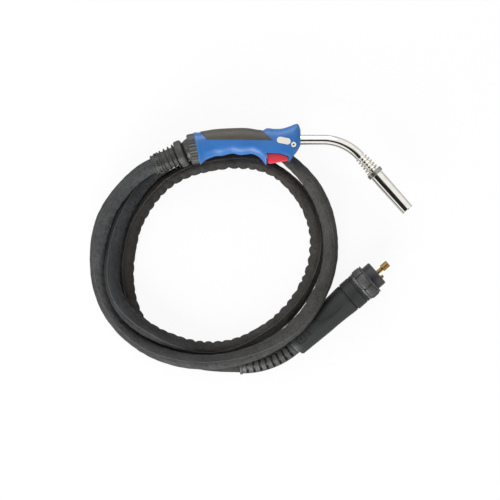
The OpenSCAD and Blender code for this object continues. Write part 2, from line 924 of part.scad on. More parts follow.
module nozzle_spring() {
    // Rings of one turn and sides of the wire
    steps = 8;
    wire_sides = 6;
    travel = collar_start - 0.2 - spring_wire / 2 - spring_start;
    count = spring_turns * steps;
    first_r = shank_d / 2 + 2;
    last_r = first_r + 1.2;
    route = [
        for (i = [0:count])
            let (a = 360 * i / steps, r = first_r + (last_r - first_r) * i / count)
            [r * cos(a), r * sin(a), spring_start + travel * i / count]
    ];
    color("#c9cbce")
        at_nozzle()
            skin([
                for (i = [0:count])
                    let (
                        t = heading(route, i), away = unit([route[i].x, route[i].y, 0]),
                        up = unit(cross(t, away)), side = cross(up, t)
                    )
                    [
                        for (j = [0:wire_sides - 1])
                            route[i] + spring_wire / 2
                            * (cos(60 * j) * side + sin(60 * j) * up)
                    ]
            ]);
}

module nozzle_collar() {
    color("#7e8084")
        at_nozzle()
            turned(
                [
                    [nozzle_collar_d / 2 - 0.8, collar_start], [nozzle_collar_d / 2, collar_start + 0.8],
                    [nozzle_collar_d / 2, collar_start + nozzle_collar_len - 0.8],
                    [nozzle_collar_d / 2 - 0.8, collar_start + nozzle_collar_len]
                ],
                shank_d + 2 * fit
            );
}

module gas_nozzle() {
    straight = 18;
    color("#dcdde0")
        at_nozzle()
            difference() {
                rotate_extrude()
                    polygon([
                        [insulator_d / 2 + run, nozzle_start], [nozzle_d / 2, nozzle_start],
                        [nozzle_d / 2, nozzle_start + straight],
                        [mouth_d / 2, nozzle_end - 1], [mouth_d / 2 - 0.5, nozzle_end],
                        [mouth_bore / 2, nozzle_end], [mouth_bore / 2, nozzle_end - 10],
                        [mouth_bore / 2 + 1, nozzle_start + straight + 2],
                        [insulator_d / 2 + run, nozzle_start + straight]
                    ]);
                translate([-0.6, -nozzle_d, nozzle_start - 1])
                    cube([1.2, 2 * nozzle_d, 7]);
            }
}

// ---- Connector ----
// A ring round the protector. Only its slots, on the side seen from above and the side
// opposite, are cut to the depth given: between them the skin stays whole.
function boot_ring(s, r, deep) =
    let (
        p = boot_at(s), t = unit(p - boot_at(s - 0.5)), side = unit(cross(t, [0, 0, 1])),
        up = cross(side, t)
    )
    [
        for (j = [0:boot_sides - 1])
            let (
                a = 360 * j / boot_sides,
                off = abs((a - slot_turn + 450) % 180 - 90),
                q = r - (off < slot_half ? deep : 0)
            )
            p + q * cos(a) * side + q * sin(a) * up
    ];

module bend_protector() {
    pitch = boot_len / boot_ribs;
    slot = 2.6;
    slot_depth = 2.4;
    outer = concat(
        [[-boot_root, root_bore_d / 2 - fit, 0], [0, root_bore_d / 2 - fit, 0], [0, boot_d / 2, 0]],
        [for (i = [1:boot_ribs - 1]) let (r = boot_d / 2 - i * 0.1) each [
            [i * pitch - slot, r, 0], [i * pitch - slot + 0.3, r, slot_depth],
            [i * pitch - 0.3, r, slot_depth], [i * pitch, r, 0]
        ]],
        [
            [boot_len - 2.4, boot_d / 2 - 0.9, 0], [boot_len - 2, boot_end_d / 2, 0],
            [boot_len, boot_end_d / 2, 0]
        ]
    );
    inner = [for (i = [boot_ribs:-1:-1])
        [i < 0 ? -boot_root : boot_len * i / boot_ribs, core_d / 2 + 5 * fit, 0]];
    color("#232326")
        skin([for (q = concat(outer, inner)) boot_ring(q[0], q[1], q[2])], looped = true);
}

module rear_ring() {
    color("#8d8f92")
        at_plug()
            translate([0, 0, -plug_len - ring_t])
                difference() {
                    cylinder(d = boot_d, h = ring_t);
                    translate([0, 0, -1])
                        cylinder(d = root_bore_d, h = ring_t + 2);
                }
}

function housing_r(z) =
    housing_rear_d / 2
    + (housing_d - housing_rear_d) / 2 * (z + plug_len) / (housing_front + plug_len);

// The panel that the fingers find: a tongue-shaped outline on the housing
module grip_panel() {
    back = housing_front - panel_end;
    front = housing_front - panel_start;
    rotate([0, 90, 0])
        linear_extrude(far)
            polygon([
                [-front, 11], [-back - 8, 10], [-back - 2, 6.5], [-back, 0], [-back - 2, -6.5],
                [-back - 8, -10], [-front, -11], [-front + 6, 0]
            ]);
}

module housing_half(up) {
    round_r = 3;
    recess = 0.8;
    color("#2b2c2e")
        at_plug()
            difference() {
                turned([
                    [housing_r(-plug_len) - round_r, -plug_len],
                    [housing_r(-plug_len) - 1, -plug_len + 1],
                    [housing_r(-plug_len + round_r), -plug_len + round_r],
                    [housing_r(housing_front - 21), housing_front - 21],
                    [housing_r(housing_front - 20) - 0.9, housing_front - 20.2],
                    [housing_r(housing_front - 20) - 0.9, housing_front - 19.4],
                    [housing_d / 2, housing_front - 18.6],
                    [housing_d / 2, housing_front - 3.4], [housing_d / 2 - 0.8, housing_front - 3.2],
                    [housing_d / 2 - 0.8, housing_front - 2.4], [housing_d / 2, housing_front - 2.2],
                    [housing_d / 2, housing_front]
                ]);
                translate([0, 0, housing_front - face_flange_len])
                    cylinder(d = face_d + 3.6 + 2 * fit, h = far);
                translate([0, 0, core_back])
                    cylinder(d = core_body_d + 2 * fit, h = far);
                translate([0, 0, hollow_back])
                    cylinder(d = housing_rear_d - 8, h = core_back - hollow_back);
                translate([0, 0, -far])
                    cylinder(d = root_bore_d, h = 2 * far + hollow_back);
                intersection() {
                    grip_panel();
                    difference() {
                        cylinder(r = far, h = far, center = true);
                        turned([
                            [housing_r(-plug_len) - recess, -plug_len - 1],
                            [housing_r(housing_front) - recess, housing_front]
                        ]);
                    }
                }
                for (i = [0:3])
                    screw_hole(i);
                translate([up ? -far : 0, -far / 2, -far])
                    cube([far, far, 2 * far]);
            }
}

// Two screws near the front and two near the rear, through the lower half into the upper
function screw_z(i) = i < 2 ? housing_front - 11 : -plug_len + 7.5;
function screw_y(i) = (i % 2 == 0 ? 1 : -1) * (i < 2 ? 17.4 : 13.3);

module screw_hole(i) {
    translate([-8 - fit, screw_y(i), screw_z(i)])
        rotate([0, 90, 0])
            cylinder(d = housing_screw_d + 2 * fit, h = 15 + 2 * fit);
    translate([-far, screw_y(i), screw_z(i)])
        rotate([0, 90, 0])
            cylinder(d = 2 * housing_screw_d, h = far - 6);
}

module housing_screw(i) {
    color("#8f9297")
        at_plug()
            translate([-8, screw_y(i), screw_z(i)])
                rotate([0, 90, 0])
                    difference() {
                        union() {
                            cylinder(d = housing_screw_d, h = 15);
                            cylinder(d = 2 * housing_screw_d - 2 * fit, h = 2);
                        }
                        translate([0, 0, -1])
                            cylinder(d = housing_screw_d * 0.8, h = 2.2, $fn = 6);
                    }
}

module housing_upper() {
    housing_half(true);
}

module housing_lower() {
    housing_half(false);
}

module flange_ring() {
    color("#9b9da0")
        at_plug()
            translate([0, 0, housing_front])
                difference() {
                    cylinder(d = flange_d, h = flange_front - housing_front);
                    translate([0, 0, -1])
                        cylinder(d = face_d + 2 * fit, h = 10);
                }
}

module collar_nut() {
    color("#3a3b3d")
        at_plug()
            difference() {
                rotate_extrude()
                    polygon([
                        [face_d / 2 + 0.6, nut_back], [nut_d / 2 - 1, nut_back],
                        [nut_d / 2, nut_back + 1.2], [nut_d / 2, nut_front - bead_len - 1.6],
                        [nut_d / 2 - 1.4, nut_front - bead_len - 0.6],
                        [nut_d / 2 - 1.4, nut_front - bead_len], [nut_d / 2 - 0.6, nut_front - bead_len],
                        [nut_d / 2 - 0.6, nut_front - 0.4], [nut_d / 2 - 1, nut_front],
                        [face_d / 2 + 0.6, nut_front], [face_d / 2 + 0.6, clip_z + 1.5 + run],
                        [face_d / 2 + 1.9, clip_z + 1.5 + run], [face_d / 2 + 1.9, clip_z - run],
                        [face_d / 2 + 0.6, clip_z - run]
                    ]);
                for (i = [0:nut_lobes - 1])
                    rotate([0, 0, 360 * (i + 0.3) / nut_lobes])
                        translate([nut_d / 2 + 0.2, 0, nut_back - 1])
                            cylinder(d = lobe_cut_d, h = nut_len - bead_len);
            }
}

clip_z = nut_back + 5;

module nut_clip() {
    color("#b9bcc2")
        at_plug()
            translate([0, 0, clip_z])
                difference() {
                    cylinder(d = face_d + 3.2, h = 1.5);
                    translate([0, 0, -1])
                        cylinder(d = face_d - 1.4, h = 4);
                }
}

module plug_face() {
    color("#34353a")
        at_plug()
            difference() {
                turned([
                    [face_d / 2 + 1.8, housing_front - face_flange_len + fit],
                    [face_d / 2 + 1.8, housing_front], [face_d / 2, housing_front],
                    [face_d / 2, clip_z - fit], [face_d / 2 - 0.8, clip_z - fit],
                    [face_d / 2 - 0.8, clip_z + 1.5 + fit], [face_d / 2, clip_z + 1.5 + fit],
                    [face_d / 2, -1], [face_d / 2 - 1, 0]
                ]);
                translate([0, 0, -far])
                    cylinder(d = gas_pin_d + 2 * fit, h = 2 * far);
                for (s = [-1, 1])
                    translate([s * contact_x, contact_y, -contact_len - contact_travel - 3])
                        cylinder(d = contact_d + 2 * run, h = far);
            }
}

module plug_core() {
    color("#c8a24a")
        at_plug()
            turned(
                [
                    [root_bore_d / 2, core_back], [core_body_d / 2, core_back + 2],
                    [core_body_d / 2, housing_front - face_flange_len]
                ],
                core_d + 2 * fit
            );
}

module gas_pin() {
    color("#d8b45c")
        at_plug()
            turned(
                [
                    [core_d / 2, core_back + 14], [core_d / 2, housing_front - face_flange_len - fit],
                    [gas_pin_d / 2, housing_front - face_flange_len - fit],
                    [gas_pin_d / 2, gas_pin_out + 5]
                ],
                liner_bore
            );
}

module liner_nut() {
    color("#d8b45c")
        at_plug()
            difference() {
                turned([
                    [liner_nut_d / 2 - 0.6, gas_pin_out], [liner_nut_d / 2, gas_pin_out + 0.6],
                    [liner_nut_d / 2, gas_pin_out + liner_nut_len - 0.8],
                    [liner_nut_d / 2 - 0.8, gas_pin_out + liner_nut_len]
                ]);
                translate([0, 0, gas_pin_out - 1])
                    cylinder(d = gas_pin_d + 2 * fit, h = 6 + fit);
                translate([0, 0, gas_pin_out])
                    cylinder(d = nut_bore, h = liner_nut_len + 1);
            }
}

module contact_pin(s) {
    color("#d8b45c")
        at_plug()
            translate([s * contact_x, contact_y, contact_out - contact_len])
                turned([
                    [contact_d / 2, 0], [contact_d / 2, contact_len - 1],
                    [contact_d / 2 - 1, contact_len]
                ]);
}

module contact_pin_a() {
    contact_pin(1);
}

module contact_pin_b() {
    contact_pin(-1);
}

module crimp_ferrule() {
    color("#b9bcc2")
        at_plug()
            translate([0, 0, core_back - crimp_len])
                difference() {
                    cylinder(d = core_d + 4, h = crimp_len);
                    translate([0, 0, -1])
                        cylinder(d = core_d + 2 * fit, h = crimp_len + 2);
                }
}

cable_coil();
cable_head();
cable_tail();
cable_core();
cable_sleeve();
sleeve_ferrule();
knuckle_ball();
joint_ring();
ball_seat();
handle_shell_left();
handle_shell_right();
soft_grip();
oval_plate();
nose_cap();
handle_screw(0);  // handle_screw_1
handle_screw(1);  // handle_screw_2
handle_screw(2);  // handle_screw_3
trigger();
trigger_pin();
microswitch();
switch_plunger();
neck_block();
neck_tube();
neck_liner();
tip_holder();
contact_tip();
nozzle_insulator();
nozzle_spring();
nozzle_collar();
gas_nozzle();
bend_protector();
rear_ring();
housing_upper();
housing_lower();
flange_ring();
collar_nut();
nut_clip();
plug_face();
plug_core();
gas_pin();
liner_nut();
contact_pin_a();
contact_pin_b();
crimp_ferrule();
housing_screw(0);  // housing_screw_1
housing_screw(1);  // housing_screw_2
housing_screw(2);  // housing_screw_3
housing_screw(3);  // housing_screw_4
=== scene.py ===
# %% [markdown]
# # A MIG welding torch with its coiled lead
#
# The torch is a hand-held welding tool: a moulded handle with a trigger, a bent metal neck
# that ends in a gas nozzle, a ball joint behind the handle, and a sleeved lead that ends in
# a central connector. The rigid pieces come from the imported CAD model, exact and in metres.
# This notebook dresses them: it models the soft and moulded pieces more finely, and gives
# every surface the finish that its real material has.

# %% Load the CAD frame
import json
from math import copysign, cos, degrees, exp, pi, radians, sin, tan

import bpy
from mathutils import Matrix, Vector, noise


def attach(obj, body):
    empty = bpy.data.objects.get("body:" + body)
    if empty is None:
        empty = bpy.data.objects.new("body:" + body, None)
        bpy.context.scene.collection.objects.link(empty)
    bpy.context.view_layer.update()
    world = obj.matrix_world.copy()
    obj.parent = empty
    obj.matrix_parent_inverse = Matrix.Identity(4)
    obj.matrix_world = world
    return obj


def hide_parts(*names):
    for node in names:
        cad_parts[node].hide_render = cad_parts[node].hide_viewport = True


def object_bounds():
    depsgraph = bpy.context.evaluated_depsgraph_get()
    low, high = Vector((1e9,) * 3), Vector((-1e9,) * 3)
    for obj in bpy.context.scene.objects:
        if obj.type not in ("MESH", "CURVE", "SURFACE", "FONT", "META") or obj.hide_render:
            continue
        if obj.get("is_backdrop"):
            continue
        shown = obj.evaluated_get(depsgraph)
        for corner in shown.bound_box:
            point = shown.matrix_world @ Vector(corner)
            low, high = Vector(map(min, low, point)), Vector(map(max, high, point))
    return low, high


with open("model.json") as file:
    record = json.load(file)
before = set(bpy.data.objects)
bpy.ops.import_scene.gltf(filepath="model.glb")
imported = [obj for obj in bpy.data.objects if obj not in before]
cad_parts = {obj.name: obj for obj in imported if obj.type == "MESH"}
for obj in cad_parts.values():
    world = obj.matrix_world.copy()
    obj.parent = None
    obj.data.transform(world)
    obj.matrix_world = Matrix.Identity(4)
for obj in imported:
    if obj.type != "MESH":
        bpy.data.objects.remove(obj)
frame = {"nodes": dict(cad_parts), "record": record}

cad_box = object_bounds()

# %% [markdown]
# ## Helpers
#
# Colours are written as sRGB hex values, as a colour chart gives them. Blender's shaders
# work in linear light, so one function converts them. Another adds one shader node with
# its settings and links, and every finish below is built with it.

# %% Colour and shader helpers
MM = 0.001


def linear(hex_colour):
    """An sRGB hex colour as linear red, green, blue, and an alpha of 1."""
    parts = [int(hex_colour[i:i + 2], 16) / 255 for i in (1, 3, 5)]
    return [p / 12.92 if p <= 0.04045 else ((p + 0.055) / 1.055) ** 2.4 for p in parts] + [1]


def feed(node, inputs):
    """Sets a node's inputs: to a value, or with a link from a node or from one of its outputs."""
    for name, value in inputs.items():
        if isinstance(value, bpy.types.Node):
            value = value.outputs[0]
        if isinstance(value, bpy.types.NodeSocket):
            node.id_data.links.new(value, node.inputs[name])
        else:
            node.inputs[name].default_value = value


def add(tree, kind, inputs=None, stops=None, **settings):
    """Adds one node. A ramp's stops are places from 0 to 1, each with a grey or a colour."""
    node = tree.nodes.new("ShaderNode" + kind)
    for name, value in settings.items():
        setattr(node, name, value)
    if stops:
        elements = node.color_ramp.elements
        while len(elements) < len(stops):
            elements.new(0.5)
        for element, (place, colour) in zip(elements, stops):
            element.position = place
            element.color = (*colour[:3], 1) if isinstance(colour, list) else (*[colour] * 3, 1)
    feed(node, inputs or {})
    return node


def new_material(name, **sockets):
    """A material with one Principled shader, whose plain sockets are set here."""
    made = bpy.data.materials.new(name)
    made.use_nodes = True
    shader = made.node_tree.nodes["Principled BSDF"]
    feed(shader, {socket.replace("_", " "): value for socket, value in sockets.items()})
    return made, made.node_tree, shader


def select_only(piece=None):
    """Selects this piece and nothing else, so that an operator acts on no other."""
    bpy.ops.object.select_all(action="DESELECT")
    if piece:
        bpy.context.view_layer.objects.active = piece
        piece.select_set(True)


def report(*pieces):
    """Prints what was made: each piece's faces and its size."""
    for piece in pieces:
        size = " x ".join(f"{v / MM:.1f}" for v in piece.dimensions)
        print(piece.name, len(piece.data.polygons), "faces,", size, "mm")


# %% [markdown]
# ## Camera
#
# The torch lies on the floor and is seen from straight above, from far away, so that
# near and far pieces keep the same scale.

# %% Camera
VIEW_WIDTH = 0.675
VIEW_CENTRE = (0.0459, -0.0027)
CAMERA_HEIGHT = 6.0
SCALE_HEIGHT = 0.03
SENSOR_MM = 36

select_only()
bpy.ops.object.camera_add(location=(*VIEW_CENTRE, CAMERA_HEIGHT), rotation=(0, 0, 0))
camera = bpy.context.object
camera.data.sensor_width = SENSOR_MM
camera.data.lens = SENSOR_MM * (CAMERA_HEIGHT - SCALE_HEIGHT) / VIEW_WIDTH
scene = bpy.context.scene
scene.camera = camera
print("lens", round(camera.data.lens, 1), "mm")

# %% [markdown]
# ## Light and floor
#
# A white world gives soft light from everywhere, and four large lamps give it a direction.
# Polished metal shows what stands around it, so the world that it mirrors is dark overhead,
# where a studio's camera stands. The floor is white to the camera, and keeps the shadow.

# %% World
WHITE = linear("#ffffff")
SOFT_LIGHT = 0.38
# What polished metal mirrors is dark overhead, from the middle to about 33 degrees towards
# -Y, with a small corner towards +X and +Y. Each row is one edge of it: how it joins the
# rows before, its direction, and the two values between which the sky turns bright.
DARK_EDGES = [("MAXIMUM", (-1.3, 1, 0), -0.04, 0.04), ("MAXIMUM", (1, 0, 0), 0.12, 0.2),
              ("MINIMUM", (0, 1, 0), -0.02, 0.02), ("MAXIMUM", (-0.09, 1, 0), -0.54, -0.62),
              ("MAXIMUM", (0, 0, 1), 0.5, 0.38)]

scene.view_settings.view_transform = "Standard"
scene.world = bpy.data.worlds.new("studio")
scene.world.use_nodes = True
sky = scene.world.node_tree
sky.nodes.clear()
way = add(sky, "TexCoord").outputs["Generated"]
rays = add(sky, "LightPath").outputs
bright = 0.0
for operation, direction, low, high in DARK_EDGES:
    across = add(sky, "VectorMath", {0: way, 1: direction}, operation="DOT_PRODUCT")
    side = add(sky, "MapRange", {"Value": across.outputs["Value"], "From Min": low,
                                 "From Max": high})
    bright = add(sky, "Math", {0: bright, 1: side}, operation=operation)
sky_colour = add(sky, "MixRGB", {"Fac": bright, "Color1": linear("#272725"),
                                 "Color2": linear("#fffefc")})
mirror_view, plain_view, soft_light = [
    add(sky, "Background", {"Color": colour, "Strength": strength})
    for colour, strength in ((sky_colour, 1), (WHITE, 1), (WHITE, SOFT_LIGHT))]
lit = add(sky, "MixShader", {0: rays["Is Glossy Ray"], 1: soft_light, 2: mirror_view})
final = add(sky, "MixShader", {0: rays["Is Camera Ray"], 1: lit, 2: plain_view})
add(sky, "OutputWorld", {"Surface": final})
print("world:", len(sky.nodes), "nodes")


# %% Lamps
def lamp(name, place, target, size, watts, mirrored=True):
    """A square soft lamp at place, turned towards target. mirrored: polished metal shows it."""
    select_only()
    turn = (Vector(target) - Vector(place)).to_track_quat("-Z", "Y").to_euler()
    bpy.ops.object.light_add(type="AREA", location=place, rotation=turn)
    one = bpy.context.object
    one.name, one.data.size, one.data.energy = name, size, watts
    one.visible_glossy = mirrored
    return one


lamp("overhead_lamp", (-0.4, 0.5, 2.2), (0.03, 0, 0), 1.4, 5, mirrored=False)
lamp("back_lamp", (-0.1, 1.6, 0.8), (0.03, 0, 0), 1.2, 17)
belly_lamp = lamp("belly_lamp", (-0.4, -1.5, 0.62), (0, 0.1, 0), 1.5, 46)
lamp("side_lamp", (-1.5, 0.2, 0.8), (0.03, 0, 0), 0.7, 4)

# %% Floor
FLOOR_DROP = 0.2 * MM
# How much of the floor's white is its own, so that the object's shadow stays faint
FLOOR_GLOW = 0.9

select_only()
bpy.ops.mesh.primitive_plane_add(size=12, location=(0, 0, -FLOOR_DROP))
floor = bpy.context.object
floor.name = "floor"
floor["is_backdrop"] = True
floor_material, tree, shader = new_material("pale_floor", Base_Color=linear("#f4f4f4"),
                                            Roughness=0.9)
rays = add(tree, "LightPath").outputs
# Polished metal sees the floor as a light grey
backdrop = add(tree, "MixRGB", {"Fac": rays["Is Glossy Ray"], "Color1": WHITE,
                                "Color2": linear("#cbcac7")})
white = add(tree, "Emission", {"Color": backdrop, "Strength": 1.0})
seen = add(tree, "Math", {0: rays["Is Camera Ray"], 1: rays["Is Glossy Ray"]},
           operation="MAXIMUM")
shown = add(tree, "Math", {0: seen, 1: FLOOR_GLOW}, operation="MULTIPLY")
mixed = add(tree, "MixShader", {0: shown, 1: shader, 2: white})
feed(tree.nodes["Material Output"], {"Surface": mixed})
floor.data.materials.append(floor_material)
report(floor)

# %% [markdown]
# ## Loft helper
#
# Many pieces of this torch are lofts: a section carried along a line, changing as it goes.
# Blender's grid primitive is the plainest sheet of quads, so the loft starts as a grid
# with one row for each section, and each vertex is then put in its place on its section.

# %% Loft helper
def circle(count):
    """Evenly spaced angles, once round."""
    return [2 * pi * j / count for j in range(count)]


def power(x, p):
    """A power of x that keeps its sign."""
    return copysign(abs(x) ** p, x)


def loft(name, sections, capped=True, smooth=True, measure=None):
    """A skin over closed sections, lists of as many points each, in metres.

    capped closes the first and last section, and measure gives the UV map's u along the
    sections and v around them, in metres.
    """
    rows, columns = len(sections), len(sections[0])
    across = columns + 1
    select_only()
    bpy.ops.mesh.primitive_grid_add(x_subdivisions=columns, y_subdivisions=rows - 1, size=1)
    piece = bpy.context.object
    piece.name = piece.data.name = name
    mesh = piece.data
    for i in range(rows):
        for j in range(across):
            mesh.vertices[i * across + j].co = sections[i][j % columns]
    layer = mesh.uv_layers.active
    along, girth = measure or (list(range(rows)), columns)
    for polygon in mesh.polygons:
        for corner in polygon.loop_indices:
            row, column = divmod(mesh.loops[corner].vertex_index, across)
            layer.data[corner].uv = (along[row], girth * column / columns)
    bpy.ops.object.mode_set(mode="EDIT")
    bpy.ops.mesh.select_all(action="SELECT")
    bpy.ops.mesh.remove_doubles(threshold=1e-6)
    if capped:
        bpy.ops.mesh.select_all(action="DESELECT")
        bpy.ops.mesh.select_non_manifold()
        bpy.ops.mesh.edge_face_add()
    bpy.ops.mesh.select_all(action="SELECT")
    bpy.ops.mesh.normals_make_consistent(inside=False)
    bpy.ops.object.mode_set(mode="OBJECT")
    if smooth:
        bpy.ops.object.shade_smooth_by_angle(angle=radians(35))
    return piece


# %% [markdown]
# ## The lead
#
# The lead is one 20 mm sleeved cable. It leaves the bend sleeve behind the handle, lies in
# two and a third loose turns, and ends in the connector's bend protector. The turns are
# given as angle, radius and rise over the floor, and a smooth curve runs through them.
# A curve object with a round bevel could be the cable, but it would be smooth all over, so
# its line is kept as points and the skin is lofted over them.

# %% Route of the lead
CABLE_D = 20 * MM
FLOOR_CUT = CABLE_D / 10
LIFT = CABLE_D / 2 - FLOOR_CUT
LAY = [
    (127, 139.5, 26), (145, 147, 21.5), (165, 156, 18), (184, 161, 12), (190, 163, 7.5),
    (200, 166, 4), (214, 167, 2.5), (230, 164.2, 13.5), (240, 161.8, 19.5), (250, 159, 22.5),
    (275, 152.5, 24.5), (298, 150.5, 28), (312, 151.5, 31.5), (322, 152, 32.5),
    (333, 152.5, 29), (350, 154.5, 18.5), (365, 155, 16), (385, 155.5, 16), (402, 154.5, 13.5),
    (422, 153, 0), (450, 143, 0), (480, 133.2, 3.5), (495, 132.3, 6), (510, 132, 8.5),
    (528, 135.2, 10.5), (538, 137.8, 11.5), (544, 140.2, 14), (551, 143.5, 18),
    (560, 148, 20), (570, 150, 22.5), (582, 147, 23), (592, 143, 21.5), (605, 139.5, 17.5),
    (620, 138, 12), (634, 136, 4.5), (646, 134, 0), (660, 131.5, 0), (690, 132, 0),
    (715, 136.5, 0), (740, 137.5, 0), (760, 134.8, 0), (780, 129.5, 0), (800, 119.5, 0),
    (815, 114, 0), (840, 112.5, 0), (870, 112.3, 0), (888, 115.3, 0), (900, 118, 0),
    (908, 121.8, 0), (920, 129, 0), (940, 143, 0), (960, 152, 0), (975, 155, 0),
    (1001, 160.5, 2),
]


def hermite(t, span, a, a_slope, b, b_slope):
    """A smooth step from a to b over a span, with its slope given at both ends."""
    return ((2 * t ** 3 - 3 * t ** 2 + 1) * a + (t ** 3 - 2 * t ** 2 + t) * span * a_slope
            + (3 * t ** 2 - 2 * t ** 3) * b + (t ** 3 - t ** 2) * span * b_slope)


def table_curve(table, x, column=1):
    """Smooth curve through one column of a table whose first column rises."""
    def slope(i):
        a, b = max(i - 1, 0), min(i + 1, len(table) - 1)
        return (table[b][column] - table[a][column]) / (table[b][0] - table[a][0])
    i = max(j for j in range(len(table) - 1) if j == 0 or table[j][0] <= x)
    span = table[i + 1][0] - table[i][0]
    return hermite((x - table[i][0]) / span, span, table[i][column], slope(i),
                   table[i + 1][column], slope(i + 1))


def coil_point(angle):
    """A point on the coil's centre line, at this angle in degrees."""
    radius = table_curve(LAY, angle) * MM
    rise = max(table_curve(LAY, angle, 2), 0) * MM
    turn = radians(angle)
    return Vector((radius * cos(turn), radius * sin(turn), LIFT + rise))


def towards(heading, tilt=0):
    """A direction, from its heading over the floor and its tilt upwards."""
    return Vector((cos(heading) * cos(tilt), sin(heading) * cos(tilt), sin(tilt)))


BALL = Vector((-32.5, 133.2, 41.5)) * MM
SLEEVE_LEN = 56.5 * MM
SLEEVE_DIR = towards(radians(203), radians(-5.6))
SLEEVE_END = BALL + SLEEVE_LEN * SLEEVE_DIR

PLUG_HEADING = radians(41)
PLUG_TILT = radians(2.5)
PLUG_DIR = towards(PLUG_HEADING, PLUG_TILT)
NUT_D = 46 * MM
NUT_BACK = -27.4 * MM
PLUG_FRONT = Vector((217.8 * MM, -33.3 * MM,
                     NUT_D / 2 * cos(PLUG_TILT) - NUT_BACK * sin(PLUG_TILT)))
PLUG_LEN = 149 * MM
RING_T = 2.4 * MM
BOOT_START = PLUG_FRONT - (PLUG_LEN + RING_T) * PLUG_DIR
BOOT_LEN = 77 * MM
BOOT_TURN = radians(42)
BOOT_R = BOOT_LEN / BOOT_TURN
BOOT_END_D = 26 * MM
BOOT_DROP = BOOT_START.z - BOOT_END_D / 2 - 0.2 * MM


def boot_point(s):
    """A point on the bend protector's centre line, s from the connector's housing."""
    if s < 0:
        return BOOT_START - s * PLUG_DIR
    h = PLUG_HEADING + pi
    g = h - BOOT_TURN * s / BOOT_LEN
    return BOOT_START + Vector((BOOT_R * (sin(h) - sin(g)),
                                BOOT_R * (cos(g) - cos(h)),
                                -BOOT_DROP * s / BOOT_LEN))


COIL_START, COIL_END = 150, 975


def blend_points(a, a_dir, b, b_dir, count):
    """Points between a and b on a smooth curve that leaves and arrives as told."""
    reach = (b - a).length
    return [hermite(i / count, reach, a, a_dir, b, b_dir) for i in range(count)]


def coil_dir(angle):
    """The way that the coil runs at this angle."""
    return (coil_point(angle + 2) - coil_point(angle - 2)).normalized()


boot_end = boot_point(BOOT_LEN)
boot_exit = (boot_end - boot_point(BOOT_LEN - MM)).normalized()
coarse = blend_points(SLEEVE_END, SLEEVE_DIR, coil_point(COIL_START), coil_dir(COIL_START), 20)
coarse += [coil_point(angle) for angle in range(COIL_START, COIL_END)]
coarse += blend_points(coil_point(COIL_END), coil_dir(COIL_END), boot_end, -boot_exit, 30)
coarse.append(boot_end)


def evenly(points, step):
    """The same line, with its points a step apart."""
    made, left = [points[0]], step
    for a, b in zip(points, points[1:]):
        gap = (b - a).length
        while gap >= left and gap > 0:
            a = a + (b - a) * (left / gap)
            made.append(a)
            gap, left = (b - a).length, step
        left -= gap
    if (made[-1] - points[-1]).length > step / 3:
        made.append(points[-1])
    else:
        made[-1] = points[-1]
    return made


ROUTE_STEP = 1.4 * MM
route = evenly(coarse, ROUTE_STEP)
lead_length = sum((b - a).length for a, b in zip(route, route[1:]))
print("lead:", len(route), "rings,", round(lead_length, 3), "m")

# %% [markdown]
# ## The lead's sleeve
#
# The sleeve is a loose leather tube over the hoses. On the inside of each turn it has
# nothing to pull it straight, so it gathers in small rounded folds, one after the other.
# The folds fade where the lead runs straight, and the lead lies flat where it meets the floor.
# A Displace modifier would raise them on all sides alike, so each ring of the loft is given
# its own shape, with the folds towards the middle of the turn.

# %% Folds and bulges
FOLD_PITCH = 13.5 * MM
FOLD_DEPTH = 2.9 * MM
FOLD_DRIFT = 4 * MM
WRINKLE = 0.5 * MM
CREASE = 0.6 * MM
CREASE_WIDTH = 0.14
# How fast the noise changes along the lead, per metre: the folds' depth, drift and creases
DEPTH_NOISE, DRIFT_NOISE, CREASE_NOISE = 9, 55, 12
# A turn of this tightness gathers the sleeve in full
TIGHT_TURN = 1 / (140 * MM)
# Where the leather is pulled tight and slim: the coil's angle, and how far it reaches
SLIM_AT = [(410, 29), (771, 31)]
SLIM_BY = 0.14
LOOSE = 1.015
# How deep the folds are at an angle of the coil
FOLDS = [(127, 0.25), (390, 0.25), (430, 0.6), (470, 0.35), (560, 0.4), (600, 1), (760, 1),
         (900, 0.9), (930, 0.6), (970, 0.25), (1001, 0)]
# Where it bulges: the coil's angle, how far that reaches, and by how much outwards and inwards
FULL = [(786, 26, 1.3, 0), (812, 26, 1.3, 0), (170, 38, 0.3, 2.0), (500, 30, 0, 0.8),
        (535, 36, 0.4, 1.3), (316, 9, 0, 0.9), (332, 9, 0, 0.9)]


def nearest_ring(angle):
    """The number of the route's point that lies at this angle of the coil."""
    place = coil_point(angle)
    return min(range(len(route)), key=lambda i: (route[i] - place).length)


FOLD_RINGS = [(nearest_ring(angle) if angle > COIL_START else 0, share) for angle, share in FOLDS]
SLIM_RINGS, FULL_RINGS = [
    [(nearest_ring(angle), reach * MM / ROUTE_STEP, *rest) for angle, reach, *rest in table]
    for table in (SLIM_AT, FULL)]
print("slim at rings", SLIM_RINGS)


# %% Lead mesh
LEAD_SIDES = 40
# The turn at a ring is measured over this many rings each way
TURN_RINGS = 6


def frame_of(direction):
    """Two directions square to the given one."""
    side = direction.cross(Vector((0, 0, 1))).normalized()
    return side, side.cross(direction).normalized()


def hump(i, ring, reach):
    """How near ring i is to the given ring, from 0 to 1."""
    return exp(-((i - ring) / reach) ** 2)


